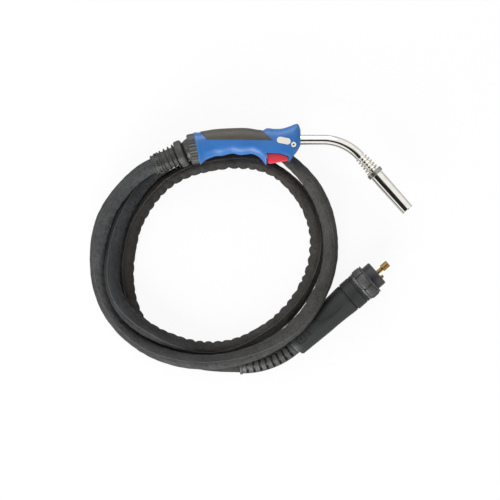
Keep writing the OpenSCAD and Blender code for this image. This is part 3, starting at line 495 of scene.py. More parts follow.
def lead_section(i):
    """One ring of the lead's skin, gathered on the side that the lead turns towards."""
    before = route[max(i - TURN_RINGS, 0)]
    after = route[min(i + TURN_RINGS, len(route) - 1)]
    ahead = (after - before).normalized()
    side, over = frame_of(ahead)
    first = (route[i] - before).normalized() if i >= TURN_RINGS else ahead
    last = (after - route[i]).normalized() if i < len(route) - TURN_RINGS else ahead
    turn = first.cross(last).z / (TURN_RINGS * ROUTE_STEP)
    gather = max(-1.0, min(1.0, turn / TIGHT_TURN))
    run = i * ROUTE_STEP
    ends = min(1.0, run / CABLE_D, (len(route) - 1 - i) * ROUTE_STEP / CABLE_D)
    depth = (FOLD_DEPTH * ends * table_curve(FOLD_RINGS, i)
             * (0.85 + 0.9 * noise.noise(Vector((run * DEPTH_NOISE, 3, 5)))))
    slim = LOOSE - SLIM_BY * sum(hump(i, *place) for place in SLIM_RINGS)
    out, back = [sum(row[k] * MM * hump(i, *row[:2]) for row in FULL_RINGS) for k in (2, 3)]
    skin = []
    for angle in circle(LEAD_SIDES):
        x, y = cos(angle), sin(angle)
        inward = max(0.0, -x * gather)
        place = Vector((run * DRIFT_NOISE, x * 1.2, y * 1.2))
        drift = noise.noise(place) * FOLD_DRIFT
        fold = abs(sin(pi * (run + drift) / FOLD_PITCH)) ** 0.75
        soft = noise.noise(place * 2.3) * WRINKLE
        rift = noise.noise(Vector((run * CREASE_NOISE, x * 2, 7 + y * 2)))
        line = max(0.0, CREASE_WIDTH - abs(rift))
        radius = (CABLE_D / 2 * slim + (out * max(0.0, x) + back * max(0.0, -x))
                  - depth * inward ** 1.4 * (0.75 - fold)
                  + (soft - CREASE * line / CREASE_WIDTH) * ends)
        point = route[i] + radius * (x * side + y * over)
        point.z = max(point.z, 0.05 * MM)
        skin.append(point)
    return skin


lead = loft("lead", [lead_section(i) for i in range(len(route))],
            measure=([i * ROUTE_STEP for i in range(len(route))], pi * CABLE_D))
report(lead)

# %% [markdown]
# ## Ball joint and bend sleeve
#
# The rubber sleeve keeps the lead from kinking where it leaves the handle. It is turned
# round one axis: a wide collar over the ball, thin fins that let it bend, a band with
# short slots, and a thin end flange. Spin could turn its profile too, but in a loft of
# rings the slots can be sunk as each radius is set, without a cut.

# %% Lathe helper
def lathe(name, start, direction, profile, angles=None, shape=None):
    """Turns a profile of places along the axis and radii, in millimetres.

    The profile is a closed loop, out along the outside and back along the bore. shape
    may change a radius, given the place, the radius and the angle.
    """
    side, over = frame_of(direction)
    sections = []
    for along, radius in profile:
        ring = []
        for angle in angles or circle(72):
            r = shape(along, radius, angle) if shape else radius
            ring.append(start + direction * along * MM
                        + r * MM * (cos(angle) * side + sin(angle) * over))
        sections.append(ring)
    return loft(name, sections + [sections[0]], capped=False)


def slot_angles(count, half_width, edge=0.6, between=4):
    """Angles round a ring with a close pair at each side of each of count slots."""
    gap = 360 / count - 2 * half_width - edge
    steps = [-half_width - edge / 2, -half_width + edge / 2, 0, half_width - edge / 2]
    steps += [half_width + edge / 2 + gap * n / (between + 1) for n in range(between + 1)]
    return sorted(radians(360 * k / count + step) for k in range(count) for step in steps)


def in_slot(angle, count, half_width):
    """True where the angle lies in one of count slots."""
    pitch = 360 / count
    return abs((degrees(angle) + pitch / 2) % pitch - pitch / 2) < half_width


# %% Bend sleeve
SLEEVE_SLOTS = 8
SLOT_HALF = 15
SLOT_DEPTH = 1.7
FIN_T = 1.7
FIN_ROOT = 13
FINS = [(23.3, 16.5), (29.5, 16.1), (35.7, 15.7), (41.9, 15.3)]

sleeve_profile = [(10.7, 12.7), (10.5, 13.4), (10.5, 15.9), (10.8, 17), (11.5, 17.9),
                  (12.6, 18.4), (13.2, 18.5), (18.8, 18.5), (19.6, 18.3), (20.1, 17.6),
                  (20.2, 15), (20.6, 13.2)]
for place, rim in FINS:
    rise = [(FIN_T / 2 + 0.5, FIN_ROOT), (FIN_T / 2, FIN_ROOT + 0.7),
            (FIN_T / 2 - 0.15, rim - 0.5), (FIN_T / 4, rim)]
    sleeve_profile += [(place - half, radius) for half, radius in rise]
    sleeve_profile += [(place + half, radius) for half, radius in reversed(rise)]
sleeve_profile += [(44.6, 13), (44.9, 14.4), (45.4, 14.9), (46.4, 14.9), (46.8, 14.89),
                   (49.2, 14.89), (49.6, 14.9), (50.6, 14.9), (51, 14.4), (51.2, 13),
                   (54.1, 13), (54.4, 13.4), (54.8, 13.8), (56, 13.8), (56.4, 13.4),
                   (56.5, 12.6), (56.5, 10.4), (54.5, 7.4), (20, 7.1), (14.5, 7.4)]


def sleeve_shape(along, radius, angle):
    """Sinks the short slots into the sleeve's band."""
    if 46.6 < along < 49.4 and in_slot(angle, SLEEVE_SLOTS, SLOT_HALF):
        return radius - SLOT_DEPTH
    return radius


bend_sleeve = lathe("bend_sleeve", BALL, SLEEVE_DIR, sleeve_profile,
                    slot_angles(SLEEVE_SLOTS, SLOT_HALF), sleeve_shape)
report(bend_sleeve)

# %% [markdown]
# ## Bend protector
#
# The same idea at the other end of the lead: a ribbed rubber tube, cut into by slots from
# alternate sides, so that it bends evenly. It follows an arc of 42 degrees. Booleans leave
# slivers on ribs as thin as these, so the rings of the loft carry the grooves.

# %% Bend protector
PROTECTOR_RIBS = 9
PROTECTOR_R = 12.5
PROTECTOR_BORE = 7.5
SLOT_TURN = 110
SLOT_REACH = 52
GROOVE_DEPTH = 4.3
# The profile of one groove: places from its middle, and depths, with None for the full groove
GROOVE_STEPS = [(-1.75, 0), (-1.5, 0.25), (-1.35, None), (1.35, None), (1.5, 0.25), (1.75, 0)]

protector_angles = sorted(radians(SLOT_TURN + 180 * k + turn) for k in range(2) for turn in
                          [-90 + 9.5 * n for n in range(5)] + [-52.6, -51.4]
                          + [-45 + 9 * n for n in range(11)] + [51.4, 52.6]
                          + [61 + 9.5 * n for n in range(3)])


def protector_section(s, radius, groove=0):
    """A ring round the protector, s along its centre line, all in millimetres."""
    s = s * MM
    ahead = -PLUG_DIR if s <= 0 else boot_exit
    if 0 < s < BOOT_LEN - 0.6 * MM:
        ahead = (boot_point(s + 0.5 * MM) - boot_point(s - 0.5 * MM)).normalized()
    side, over = frame_of(ahead)
    ring = []
    for angle in protector_angles:
        sunk = in_slot(angle - radians(SLOT_TURN), 2, SLOT_REACH)
        ring.append(boot_point(min(s, BOOT_LEN)) + (radius - (groove if sunk else 0)) * MM
                    * (cos(angle) * side + sin(angle) * over))
    return ring


end_r = BOOT_END_D / MM / 2
boot_mm = BOOT_LEN / MM
protector_rings = [(-14, 9.9), (-0.2, 9.9), (0, 11.6), (0.6, PROTECTOR_R)]
for k in range(1, PROTECTOR_RIBS):
    middle = k * boot_mm / PROTECTOR_RIBS - 1.3
    rim = PROTECTOR_R - 0.1 * k
    protector_rings += [(middle + step, rim, GROOVE_DEPTH) if deep is None
                        else (middle + step, rim - deep) for step, deep in GROOVE_STEPS]
protector_rings += [(boot_mm + step, r) for step, r in (
    (-3.4, PROTECTOR_R - 0.9), (-2.9, end_r - 0.5), (-2.4, end_r), (-0.5, end_r),
    (0, end_r - 0.6), (0, 10.6), (-1.6, 8))]
protector_rings += [(s, PROTECTOR_BORE) for s in (60, 45, 30, 15, 0, -14)]
bend_protector = loft("bend_protector_boot", [
    protector_section(*ring) for ring in protector_rings + protector_rings[:1]], capped=False)
report(bend_protector)

# %% [markdown]
# ## Cutting, welding and rounding
#
# The moulded pieces are cut out of lofts and lathe work by straight prisms and rods, as a
# tool cuts a mould. The edges are then rounded by a bevel, which needs clean corners, so
# the slivers that a cut leaves are welded first.

# %% Cutting helpers
def shifted(x, y, points):
    """A piece of an outline or a profile, moved by x and y."""
    return [(x + a, y + b) for a, b in points]


def box(x0, y0, x1, y1):
    """The outline of a rectangle."""
    return [(x0, y0), (x1, y0), (x1, y1), (x0, y1)]


def torch_point(x, y, z):
    """A point given in millimetres from the ball's centre, along the handle, up its back, out."""
    return BALL + Vector((x, y, z)) * MM


def prism(name, outline, low, high, place=torch_point):
    """A straight-sided solid over an outline, between two depths."""
    return loft(name, [[place(x, y, z) for x, y in outline] for z in (low, high)], smooth=False)


def rod(name, start, end, radius, sides=64):
    """A cylinder between two points, its radius in millimetres."""
    line = end - start
    select_only()
    bpy.ops.mesh.primitive_cone_add(
        vertices=sides, radius1=radius * MM, radius2=radius * MM, depth=line.length,
        location=(start + end) / 2, rotation=line.to_track_quat("Z", "Y").to_euler())
    bpy.context.object.name = name
    return bpy.context.object


def drill(name, spot, low, high, radius, sides=64):
    """A cylinder through the handle at a spot, between two depths."""
    return rod(name, torch_point(*spot, low), torch_point(*spot, high), radius, sides)


def modify(piece, kind, **settings):
    """Applies one modifier to a piece."""
    select_only(piece)
    bpy.ops.object.modifier_add(type=kind)
    change = piece.modifiers[-1]
    for name, value in settings.items():
        setattr(change, name, value)
    bpy.ops.object.modifier_apply(modifier=change.name)


def boolean(piece, tool, operation="DIFFERENCE"):
    """Cuts tool from piece, or joins it to the piece, and removes the tool."""
    modify(piece, "BOOLEAN", operation=operation, solver="EXACT", object=tool)
    bpy.data.objects.remove(tool)


def weld(piece, reach):
    """Joins vertices that lie closer than reach in millimetres, as slivers of a cut do."""
    select_only(piece)
    bpy.ops.object.mode_set(mode="EDIT")
    bpy.ops.mesh.select_all(action="SELECT")
    bpy.ops.mesh.remove_doubles(threshold=reach * MM)
    bpy.ops.mesh.dissolve_degenerate(threshold=reach * MM)
    bpy.ops.object.mode_set(mode="OBJECT")


def soften(piece, width, segments=2, angle=35):
    """Rounds a piece's sharp edges by width in millimetres."""
    modify(piece, "BEVEL", width=width * MM, segments=segments, limit_method="ANGLE",
           angle_limit=radians(angle))
    bpy.ops.object.shade_smooth_by_angle(angle=radians(40))


# %% [markdown]
# ## Connector housing, nut and flange ring
#
# The housing is two moulded halves that meet in a level plane and are held by four screws
# from below. Two thumb panels are sunk into opposite flanks, and a small latch sits on top
# at the rear. Each half is cut from one turned profile, so that the two match, and booleans
# then sink the panels and the holes. The nut turns on the front, and has seven pads for the
# fingers, which its rings follow.

# %% Connector outline
FACE_D = 35.4
NUT_FRONT = -12.4
nut_back = NUT_BACK / MM
FLANGE_FRONT = nut_back - 0.3
HOUSING_FRONT = FLANGE_FRONT - 3.3
HOUSING_D, HOUSING_REAR_D = 42.2, 35
PLUG_MM = PLUG_LEN / MM
CORE_BACK = HOUSING_FRONT - 31
plug_side, plug_up = frame_of(PLUG_DIR)


def plug_point(along, turn, radius):
    """A point on the connector: along its axis, turned from its top towards +Y, and out."""
    a = radians(turn)
    return PLUG_FRONT + (PLUG_DIR * along
                         + radius * (cos(a) * plug_up - sin(a) * plug_side)) * MM


def housing_r(along):
    """The housing's radius, which grows towards its front."""
    share = (along + PLUG_MM) / (HOUSING_FRONT + PLUG_MM)
    return HOUSING_REAR_D / 2 + (HOUSING_D - HOUSING_REAR_D) / 2 * share


def patch(name, centre, half_len, half_turn, low, high, squareness):
    """A squared oval over the housing's skin, solid from a low to a high level."""
    shares = [0.05, 0.3, 0.55, 0.8, 1]
    sections = []
    for share, level in [(s, low) for s in shares] + [(s, high) for s in reversed(shares)]:
        ring = []
        for a in circle(56):
            along = centre[0] + half_len * power(cos(a), 2 / squareness) * share
            turn = centre[1] + half_turn * power(sin(a), 2 / squareness) * share
            ring.append(plug_point(along, turn, housing_r(along) + level))
        sections.append(ring)
    return loft(name, sections, smooth=False)


print("connector:", round(PLUG_MM, 1), "mm long,", HOUSING_D, "mm thick")

# %% Connector housing
HOUSING_SEAM = 0.05
PANEL_TURNS = (46, 226)
PANEL = (27, 58, -0.9, 6, 2.8)
LATCH_AT = (-135.5, 0)
LATCH_LINE_AT = (-122.5, 2)
SCREW_HOLE_R, SCREW_HEAD_R = 1.5, 2.85
# Each screw's place along the connector and across it
HOUSING_SCREWS = [(HOUSING_FRONT - 11, 17.4), (HOUSING_FRONT - 11, -17.4),
                  (-PLUG_MM + 7.5, 13.3), (-PLUG_MM + 7.5, -13.3)]

housing_profile = shifted(-PLUG_MM, 0, [(0, 14.5), (0.8, 16.4), (3, housing_r(-PLUG_MM + 3))])
housing_profile += [(x, housing_r(x)) for x in range(-140, -58, 9)]
housing_profile += shifted(HOUSING_FRONT, 0, [
    (-21, housing_r(HOUSING_FRONT - 21)), (-20.4, 19.3), (-19.6, 19.3), (-18.9, 21.1),
    (-4.6, 21.1), (-4.3, 20.1), (-3.5, 20.1), (-3.2, 21.1), (-0.5, 21.1), (0, 20.7),
    (0, 19.6), (-5, 19.6), (-5, 14.3)])
housing_profile += [(CORE_BACK, 14.3), (CORE_BACK, 13.5), (CORE_BACK - 60, 13.5),
                    (CORE_BACK - 60, 10.15), (-PLUG_MM, 10.15)]


def plug_place(x, y, z):
    """A point in millimetres along the connector, across it and up."""
    return PLUG_FRONT + (PLUG_DIR * x - plug_side * y + plug_up * z) * MM


def housing_half(name, high):
    """One half of the housing, +1 the upper and -1 the lower."""
    half = lathe(name, PLUG_FRONT, PLUG_DIR, housing_profile, circle(96))
    boolean(half, prism("other_half", box(-170, -60, 10, 60),
                        *sorted((HOUSING_SEAM * high, -60 * high)), place=plug_place))
    for turn in PANEL_TURNS:
        boolean(half, patch("panel", (-79, turn), *PANEL))
    for along, across in HOUSING_SCREWS:
        line = PLUG_FRONT + (PLUG_DIR * along - plug_side * across) * MM
        boolean(half, rod("screw_hole", line - plug_up * 8.2 * MM, line + plug_up * 7.2 * MM,
                          SCREW_HOLE_R, 32))
        if high < 0:
            boolean(half, rod("head_room", line - plug_up * 40 * MM, line - plug_up * 6 * MM,
                              SCREW_HEAD_R, 32))
    weld(half, 0.03)
    soften(half, 0.22, angle=38)
    if high > 0:
        boolean(half, patch("latch_room", LATCH_AT, 6.2, 19, -0.7, 4, 5))
        boolean(half, patch("latch", LATCH_AT, 5.4, 16, -2, 0, 5), "UNION")
        boolean(half, patch("latch_dot", LATCH_AT, 1.1, 4, -1.6, 4, 2))
        boolean(half, patch("latch_line", LATCH_LINE_AT, 0.5, 13, -0.7, 4, 4))
        weld(half, 0.015)
        bpy.ops.object.shade_smooth_by_angle(angle=radians(40))
    return half


housing_upper = housing_half("housing_half_upper", 1)
housing_lower = housing_half("housing_half_lower", -1)
report(housing_upper, housing_lower)

# %% Nut and flange ring
NUT_PADS = 7
PAD_PITCH = 360 / NUT_PADS
NUT_TURN = 90 - 0.3 * PAD_PITCH
# Half the angle of the groove between two pads, how deep it is, and how much a pad is crowned
GROOVE_HALF = 4.4
PAD_DEPTH = 1.7
PAD_CROWN = 0.5
BEAD_LEN = 1.8
CLIP_AT = nut_back + 5
nut_r = NUT_D / MM / 2
pads_end = NUT_FRONT - BEAD_LEN
bore = [(NUT_FRONT, 0.6), (CLIP_AT + 1.8, 0.6), (CLIP_AT + 1.8, 1.9), (CLIP_AT - 0.3, 1.9),
        (CLIP_AT - 0.3, 0.6), (nut_back, 0.6)]
nut_profile = shifted(nut_back, nut_r, [(0, -1.6), (0.5, -0.6), (1.6, 0), (5.5, 0.1)])
nut_profile += shifted(pads_end, nut_r, [(-2.4, -0.2), (-1.2, -0.9), (-0.5, -1.8), (0, -1.8),
                                         (0.2, -1)])
nut_profile += shifted(NUT_FRONT, nut_r, [(-0.5, -0.9), (0, -1.5)]) + shifted(0, FACE_D / 2, bore)


def nut_shape(along, radius, angle):
    """The nut's pads, a little crowned, with a groove between each two."""
    if radius < nut_r - 1.7 or along > pads_end - 0.8:
        return radius
    off = abs((degrees(angle) - NUT_TURN + PAD_PITCH / 2) % PAD_PITCH - PAD_PITCH / 2)
    groove = max(0.0, min(1.0, (GROOVE_HALF - off) / 1.4))
    crown = max(0.0, (off - GROOVE_HALF) / (PAD_PITCH / 2 - GROOVE_HALF))
    return radius - PAD_DEPTH * groove - PAD_CROWN * (1 - crown) ** 3


nut_angles = [radians(NUT_TURN + 360 * k / NUT_PADS + turn) for k in range(NUT_PADS)
              for turn in (-4.4, -3.6, -3, 0, 3, 3.6, 4.4, 6.5, 10, 14, 19, 25.7, 32.4, 37.4,
                           41.4, 44.9)]
collar_nut = lathe("nut_with_pads", PLUG_FRONT, PLUG_DIR, nut_profile, nut_angles, nut_shape)
ring_bore = FACE_D / 2 + 0.15
flange_ring = lathe("flange_ring_turned", PLUG_FRONT, PLUG_DIR, shifted(HOUSING_FRONT, 0, [
    (0, 20.2), (0.5, 20.2), (0.6, 21.3), (1.1, 21.4), (1.2, 20.4), (1.7, 20.4), (1.8, 21.7),
    (2, 21.9), (2.8, 21.9), (3, 21.7), (3.1, 20.8)])
    + [(FLANGE_FRONT, 20.8), (FLANGE_FRONT, ring_bore), (HOUSING_FRONT, ring_bore)])
report(collar_nut, flange_ring)

# %% [markdown]
# ## Handle
#
# The handle is two moulded shells that meet in the middle plane. Three smooth lines shape
# it, the back, the belly with its finger grooves, and the half width, all over the length.
# The section between them is a squared ellipse. A box could be bevelled and pushed into this
# form by hand, but lines keep the grooves smooth, and the soft grip can follow them too.

# %% Handle outline
HANDLE_LEN = 146.4
TOP_LINE = [
    (0, 22.6), (0.07, 22.7), (0.21, 26), (0.4, 27.6), (0.51, 27.5), (0.63, 25), (0.66, 25.8),
    (0.69, 28.2), (0.76, 27.4), (0.83, 27.8), (0.9, 30.8), (0.965, 34.2), (0.985, 32.4), (1, 26),
]
BELLY_LINE = [
    (0, -23), (0.078, -20.8), (0.12, -15.6), (0.165, -12.2), (0.22, -9.6), (0.28, -9),
    (0.335, -7), (0.38, -5.9), (0.435, -7.8), (0.48, -7.6), (0.55, -6.4), (0.585, -8),
    (0.62, -11), (0.65, -15.5), (0.68, -20.9), (0.73, -20.5), (0.85, -18), (0.905, -16.2),
    (0.935, -9.5), (0.97, -3), (1, 5),
]
SIDE_LINE = [
    (0, 20.6), (0.1, 19.8), (0.2, 18.2), (0.35, 17.2), (0.55, 17), (0.7, 16.5), (0.85, 15.6),
    (0.95, 13.4), (1, 10),
]
SQUARENESS = 2.6

# How much wider the rear end is, where its rim holds the joint ring, at which share of the
# length, and how far that reaches
REAR_RIM, RIM_AT, RIM_REACH = 0.7, 0.065, 0.02
CORNER_PULL = 0.16
HANDLE_SIDES = 80
STATIONS = 130


def handle_point(f, angle, grow=0.0):
    """A point on the handle's skin at a share f of its length, moved out by grow."""
    top = table_curve(TOP_LINE, f) + grow
    belly = table_curve(BELLY_LINE, f) - grow
    half = table_curve(SIDE_LINE, f) + grow + REAR_RIM * exp(-((f - RIM_AT) / RIM_REACH) ** 2)
    rise = (top - belly) / 2 * power(sin(angle), 2 / SQUARENESS)
    return torch_point(f * HANDLE_LEN, (top + belly) / 2 + rise,
                       half * power(cos(angle), 2 / SQUARENESS))


def eased(angle):
    """Moves an angle round the section towards its rounded corners."""
    return angle - CORNER_PULL * sin(4 * angle)


print("handle:", HANDLE_LEN, "mm long, in", STATIONS, "steps")

# %% Handle shells
RING_DIR = towards(radians(11.8))
RING_FRONT = 6.9
SEAT_END = 15
NECK_RISE = 12.6
NECK_D = 13.5
OPENING_FRONT = HANDLE_LEN - 15.9
OPENING_BACK = OPENING_FRONT - 30.1
OPENING_TOP = -5.6
PLATE_AT = (HANDLE_LEN - 22.6, 11.2)
CAP_AT = (HANDLE_LEN - 9.3, 6)
SCREW_SPOTS = [(RING_FRONT + 8 + 29, 9), (OPENING_BACK - 29 - 7.4, 3),
               (OPENING_BACK + 12, NECK_RISE + NECK_D / 2 + 3.6)]
SEAT_ROOM_R, CORE_ROOM_R = 18.1, 10
WELL_HALF, SWITCH_HALF = 7.3, 3.3
HANDLE_HEAD_R, HANDLE_HOLE_R = 3.1, 1.6
SHELL_SEAM = 0.06
# Far enough to pass the handle's skin
PAST = 40


def capsule(centre, length, width, tilt, points=14):
    """The outline of an oval with straight sides."""
    reach, outline = (length - width) / 2, []
    for end, turn in ((1, -90), (-1, 90)):
        for i in range(points + 1):
            a = radians(turn + 180 * i / points)
            x, y = end * reach + width / 2 * cos(a), width / 2 * sin(a)
            outline.append((centre[0] + x * cos(tilt) - y * sin(tilt),
                            centre[1] + x * sin(tilt) + y * cos(tilt)))
    return outline


def under_skin(x, depth):
    """How far from the middle plane a recess of this depth reaches at x."""
    return table_curve(SIDE_LINE, x / HANDLE_LEN) - depth


def handle_shell(name, side):
    """One half of the handle, +1 the side that looks up and -1 the one that looks down."""
    shell = loft(name, [[handle_point(i / STATIONS, eased(angle)) for angle in circle(HANDLE_SIDES)]
                        for i in range(STATIONS + 1)])
    cuts = [
        prism("half", box(-60, -60, 200, 60), *sorted((SHELL_SEAM * side, -PAST * side))),
        rod("ring_room", BALL - RING_DIR * 60 * MM, BALL + RING_DIR * RING_FRONT * MM, PAST),
        rod("seat_room", BALL, BALL + RING_DIR * SEAT_END * MM, SEAT_ROOM_R),
        rod("core_room", BALL, BALL + RING_DIR * (SEAT_END + 19) * MM, CORE_ROOM_R),
        rod("neck_room", torch_point(60, NECK_RISE, 0), torch_point(170, NECK_RISE, 0),
            NECK_D / 2 + 0.25),
        prism("opening", [(OPENING_BACK, -PAST)]
              + shifted(OPENING_BACK, OPENING_TOP, [(0, 0), (19.2, -0.5)])
              + [(OPENING_FRONT, OPENING_TOP - 4.4), (OPENING_FRONT, -PAST)], -PAST, PAST),
        prism("well", box(OPENING_BACK, -12, OPENING_FRONT, 1.4), -WELL_HALF, WELL_HALF),
        prism("switch_room", box(OPENING_BACK + 1.3, 0, OPENING_BACK + 14.5, 5.8),
              -SWITCH_HALF, SWITCH_HALF)]
    for cut in cuts:
        boolean(shell, cut)
    boolean(shell, prism("guide_rib", [
        (OPENING_BACK - 1, -19.5), (OPENING_BACK - 1, OPENING_TOP - 0.5),
        (OPENING_BACK + 0.2, OPENING_TOP - 0.5), (OPENING_BACK + 1.5, -19.5)],
        *sorted((SHELL_SEAM * side, 3 * side))), "UNION")
    if side > 0:
        boolean(shell, prism("plate_room", capsule(PLATE_AT, 18.8, 8.8, radians(-11)),
                             under_skin(PLATE_AT[0], 1.7), PAST))
        boolean(shell, drill("cap_room", CAP_AT, under_skin(CAP_AT[0], 2.4), PAST, 3.6))
    else:
        for spot in SCREW_SPOTS:
            boolean(shell, drill("screw_room", spot, -PAST, -11, HANDLE_HEAD_R))
            boolean(shell, drill("screw_hole", spot, -12, 2, HANDLE_HOLE_R))
    soften(shell, 0.25, angle=40)
    return shell


shells = [handle_shell("handle_shell_upper_side", 1), handle_shell("handle_shell_under_side", -1)]
report(*shells)

# %% Front handle screw
# The handle's back is narrow over its front screw, so this one is 2.6 mm shorter
spot = SCREW_SPOTS[2]
short_screw = drill("handle_screw_short", spot, -11.6, 8.4, 1.5)
boolean(short_screw, drill("head", spot, -14, -11, 3), "UNION")
boolean(short_screw, drill("socket", spot, -15, -12.2, 1.4, 6))
soften(short_screw, 0.2, angle=50)
bpy.ops.object.transform_apply(location=True, rotation=True, scale=True)
report(short_screw)

# %% [markdown]
# ## Soft grip
#
# A soft rubber layer covers the handle's back. Its lower edge runs level along both
# sides, and its ends are cut slanting. Solidify on a copy of the shell's faces would end
# at the shell's own rings and sides, so the rubber is a loft of its own, whose stations
# each have their own lowest angle.

# %% Soft grip
GRIP_T = 0.9
GRIP_LINE = 12.4
# How fast its lower edge falls, and from where
GRIP_FALL, GRIP_FALL_FROM = 0.02, 60
GRIP_FROM, GRIP_TO = 11.4, 110.5
GRIP_STATIONS = 110
GRIP_REAR = (10.9, 23.1)
GRIP_REAR_SLOPE = -tan(radians(48))
GRIP_FRONT = (94.6, 24.8)
GRIP_FRONT_SLOPE = -tan(radians(42))


def grip_floor(x):
    """How low the grip reaches at x: nearly level, and rising at the rear end."""
    level = GRIP_LINE - GRIP_FALL * max(0.0, x - GRIP_FALL_FROM)
    return max(level, GRIP_REAR[1] + GRIP_REAR_SLOPE * (x - GRIP_REAR[0]))


def lowest_angle(f, height):
    """The angle at which the handle's section at f reaches this height."""
    low, high = 0.0, pi / 2
    for _ in range(30):
        middle = (low + high) / 2
        if (handle_point(f, middle) - BALL).y / MM < height:
            low = middle
        else:
            high = middle
    return high


def grip_section(f, count=26):
    """A closed band section over the handle's back at share f."""
    start = lowest_angle(f, grip_floor(f * HANDLE_LEN))
    angles = [start + (pi - 2 * start) * j / count for j in range(count + 1)]
    thick = [GRIP_T] * (count + 1)
    thick[0] = thick[-1] = GRIP_T * 0.4
    thick[1] = thick[-2] = GRIP_T * 0.85
    return ([handle_point(f, angle, t) for angle, t in zip(angles, thick)]
            + [handle_point(f, angle, 0.02) for angle in reversed(angles)])


soft_grip = loft("soft_grip_cover", [
    grip_section((GRIP_FROM + (GRIP_TO - GRIP_FROM) * i / GRIP_STATIONS) / HANDLE_LEN)
    for i in range(GRIP_STATIONS + 1)])
boolean(soft_grip, prism("front_cut", [
    (x, GRIP_FRONT[1] + GRIP_FRONT_SLOPE * (x - GRIP_FRONT[0])) for x in (70, 125)]
    + [(150, 30), (110, 70)], -PAST, PAST))
soften(soft_grip, 0.2, angle=50)
report(soft_grip)

# %% [markdown]
# ## Trigger and nozzle spring
#
# The trigger is one moulded lever with soft edges: a prism, widely bevelled. The spring
# between the neck and the nozzle is a round wire wound in open turns that grow a little
# towards its collar. A Screw modifier would wind them all at one radius, so a ring of the
# wire's skin is carried along the helix instead.

# %% Trigger
TRIGGER_W = 14
TRIGGER_LIP = -19.4
LEAN = 1.35
back, front, top = OPENING_BACK + 0.5, OPENING_FRONT - 0.5, OPENING_TOP - 0.4
outline = shifted(back, top, [(0, 0), (18.7, -0.5)])
outline += shifted(front, top, [(-3, -3.4), (0, -5), (0, -9.6)])
outline += shifted(front, TRIGGER_LIP, [(-4.5, 3.2), (-9, 2.2), (-19, 0.6)])
outline += shifted(back + LEAN, TRIGGER_LIP, [(3, 0), (1, 0.3), (0, 1.6)])
trigger_lever = prism("trigger_lever", outline, -TRIGGER_W / 2, TRIGGER_W / 2)
soften(trigger_lever, 0.9, 3, 25)
boolean(trigger_lever, prism("rib_room", [(back - 2, -30), (back - 2, 0), (back + 2.6, 0),
                                          (back + LEAN + 2.4, -30)], -3.6, 3.6))
bpy.ops.object.shade_smooth_by_angle(angle=radians(40))
report(trigger_lever)

# %% Nozzle spring
NECK_BEND = radians(48.4)
NECK_R = 67.5
BEND_START = HANDLE_LEN + 30.2
NOZZLE_DIR = towards(-NECK_BEND)
NOZZLE_START = torch_point(BEND_START + NECK_R * sin(NECK_BEND),
                           NECK_RISE - NECK_R * (1 - cos(NECK_BEND)), 0)
SPRING_TURNS = 5
SPRING_WIRE = 2.2
SPRING_LEN = 26.5
SPRING_R = 7.2
SPRING_FLARE = 1.2
SPRING_RINGS = 260
nozzle_side, nozzle_over = frame_of(NOZZLE_DIR)


def spring_point(t):
    """The middle of the wire at a share t of its length."""
    angle = 2 * pi * SPRING_TURNS * t
    radius = SPRING_R + SPRING_FLARE * t
    along = 0.2 + SPRING_WIRE / 2 + (SPRING_LEN - 0.4 - SPRING_WIRE) * t
    return NOZZLE_START + (NOZZLE_DIR * along + radius * (
        cos(angle) * nozzle_side + sin(angle) * nozzle_over)) * MM


def wire_ring(t):
    """A ring of the wire's skin at a share t of its length."""
    ahead = (spring_point(t + 0.002) - spring_point(t - 0.002)).normalized()
    out = spring_point(t) - NOZZLE_START
    out = (out - NOZZLE_DIR * out.dot(NOZZLE_DIR)).normalized()
    lift = ahead.cross(out).normalized()
    out = lift.cross(ahead)
    return [spring_point(t) + SPRING_WIRE / 2 * MM * (cos(a) * out + sin(a) * lift)
            for a in circle(14)]


wound_spring = loft("wound_spring", [wire_ring(i / SPRING_RINGS) for i in range(SPRING_RINGS + 1)])
report(wound_spring)

# %% [markdown]
# ## Materials
#
# Every finish is made of three things: a base colour that varies a little, a roughness,
# and a fine relief: the grain of a mould, the pores of leather, the lines that a lathe or
# a polisher leaves. Noise makes them all, since an image texture would need unwrapping,
# and would blur close by. In life the grain, the pores and the lines are finer than here,
# a tenth of a millimetre or less, and are drawn coarser so that they show.

# %% Finishes
# The scale and detail of the clouds: patches about 22 mm wide on plastic, and 8 mm on metal
MOULDED_CLOUDS = (45, 5)
METAL_CLOUDS = (120, 4)


def clouded(name, clouds, tints, rough, lines, depth_mm, **sockets):
    """A finish whose colour and roughness vary in soft clouds, over a fine relief.

    clouds and lines are the scale and detail of a noise, tints and rough a ramp's stops.
    """
    made, tree, shader = new_material(name, **sockets)
    place = add(tree, "TexCoord").outputs["Object"]
    cloud, line = [add(tree, "TexNoise", {"Vector": place, "Scale": scale, "Detail": detail})
                   for scale, detail in (clouds, lines)]
    feed(shader, {
        "Base Color": add(tree, "ValToRGB", {"Fac": cloud}, tints),
        "Roughness": add(tree, "ValToRGB", {"Fac": cloud}, rough),
        "Normal": add(tree, "Bump", {"Height": line, "Strength": 1, "Distance": depth_mm * MM})})
    return made


def moulded(name, colour, roughness, grain_mm=0.35, depth_mm=0.02, shade=0.82, **sockets):
    """Moulded plastic or rubber: the fine grain of its mould gives it a soft, dull shine."""
    base = linear(colour)[:3]
    tints = [(0.3, [c * shade for c in base]), (0.5, base),
             (0.7, [min(1.0, c * (2 - shade)) for c in base])]
    rough = [(0.3, roughness * 0.88), (0.7, min(1, roughness * 1.12))]
    return clouded(name, MOULDED_CLOUDS, tints, rough, (1 / (grain_mm * MM), 3), depth_mm,
                   **sockets)


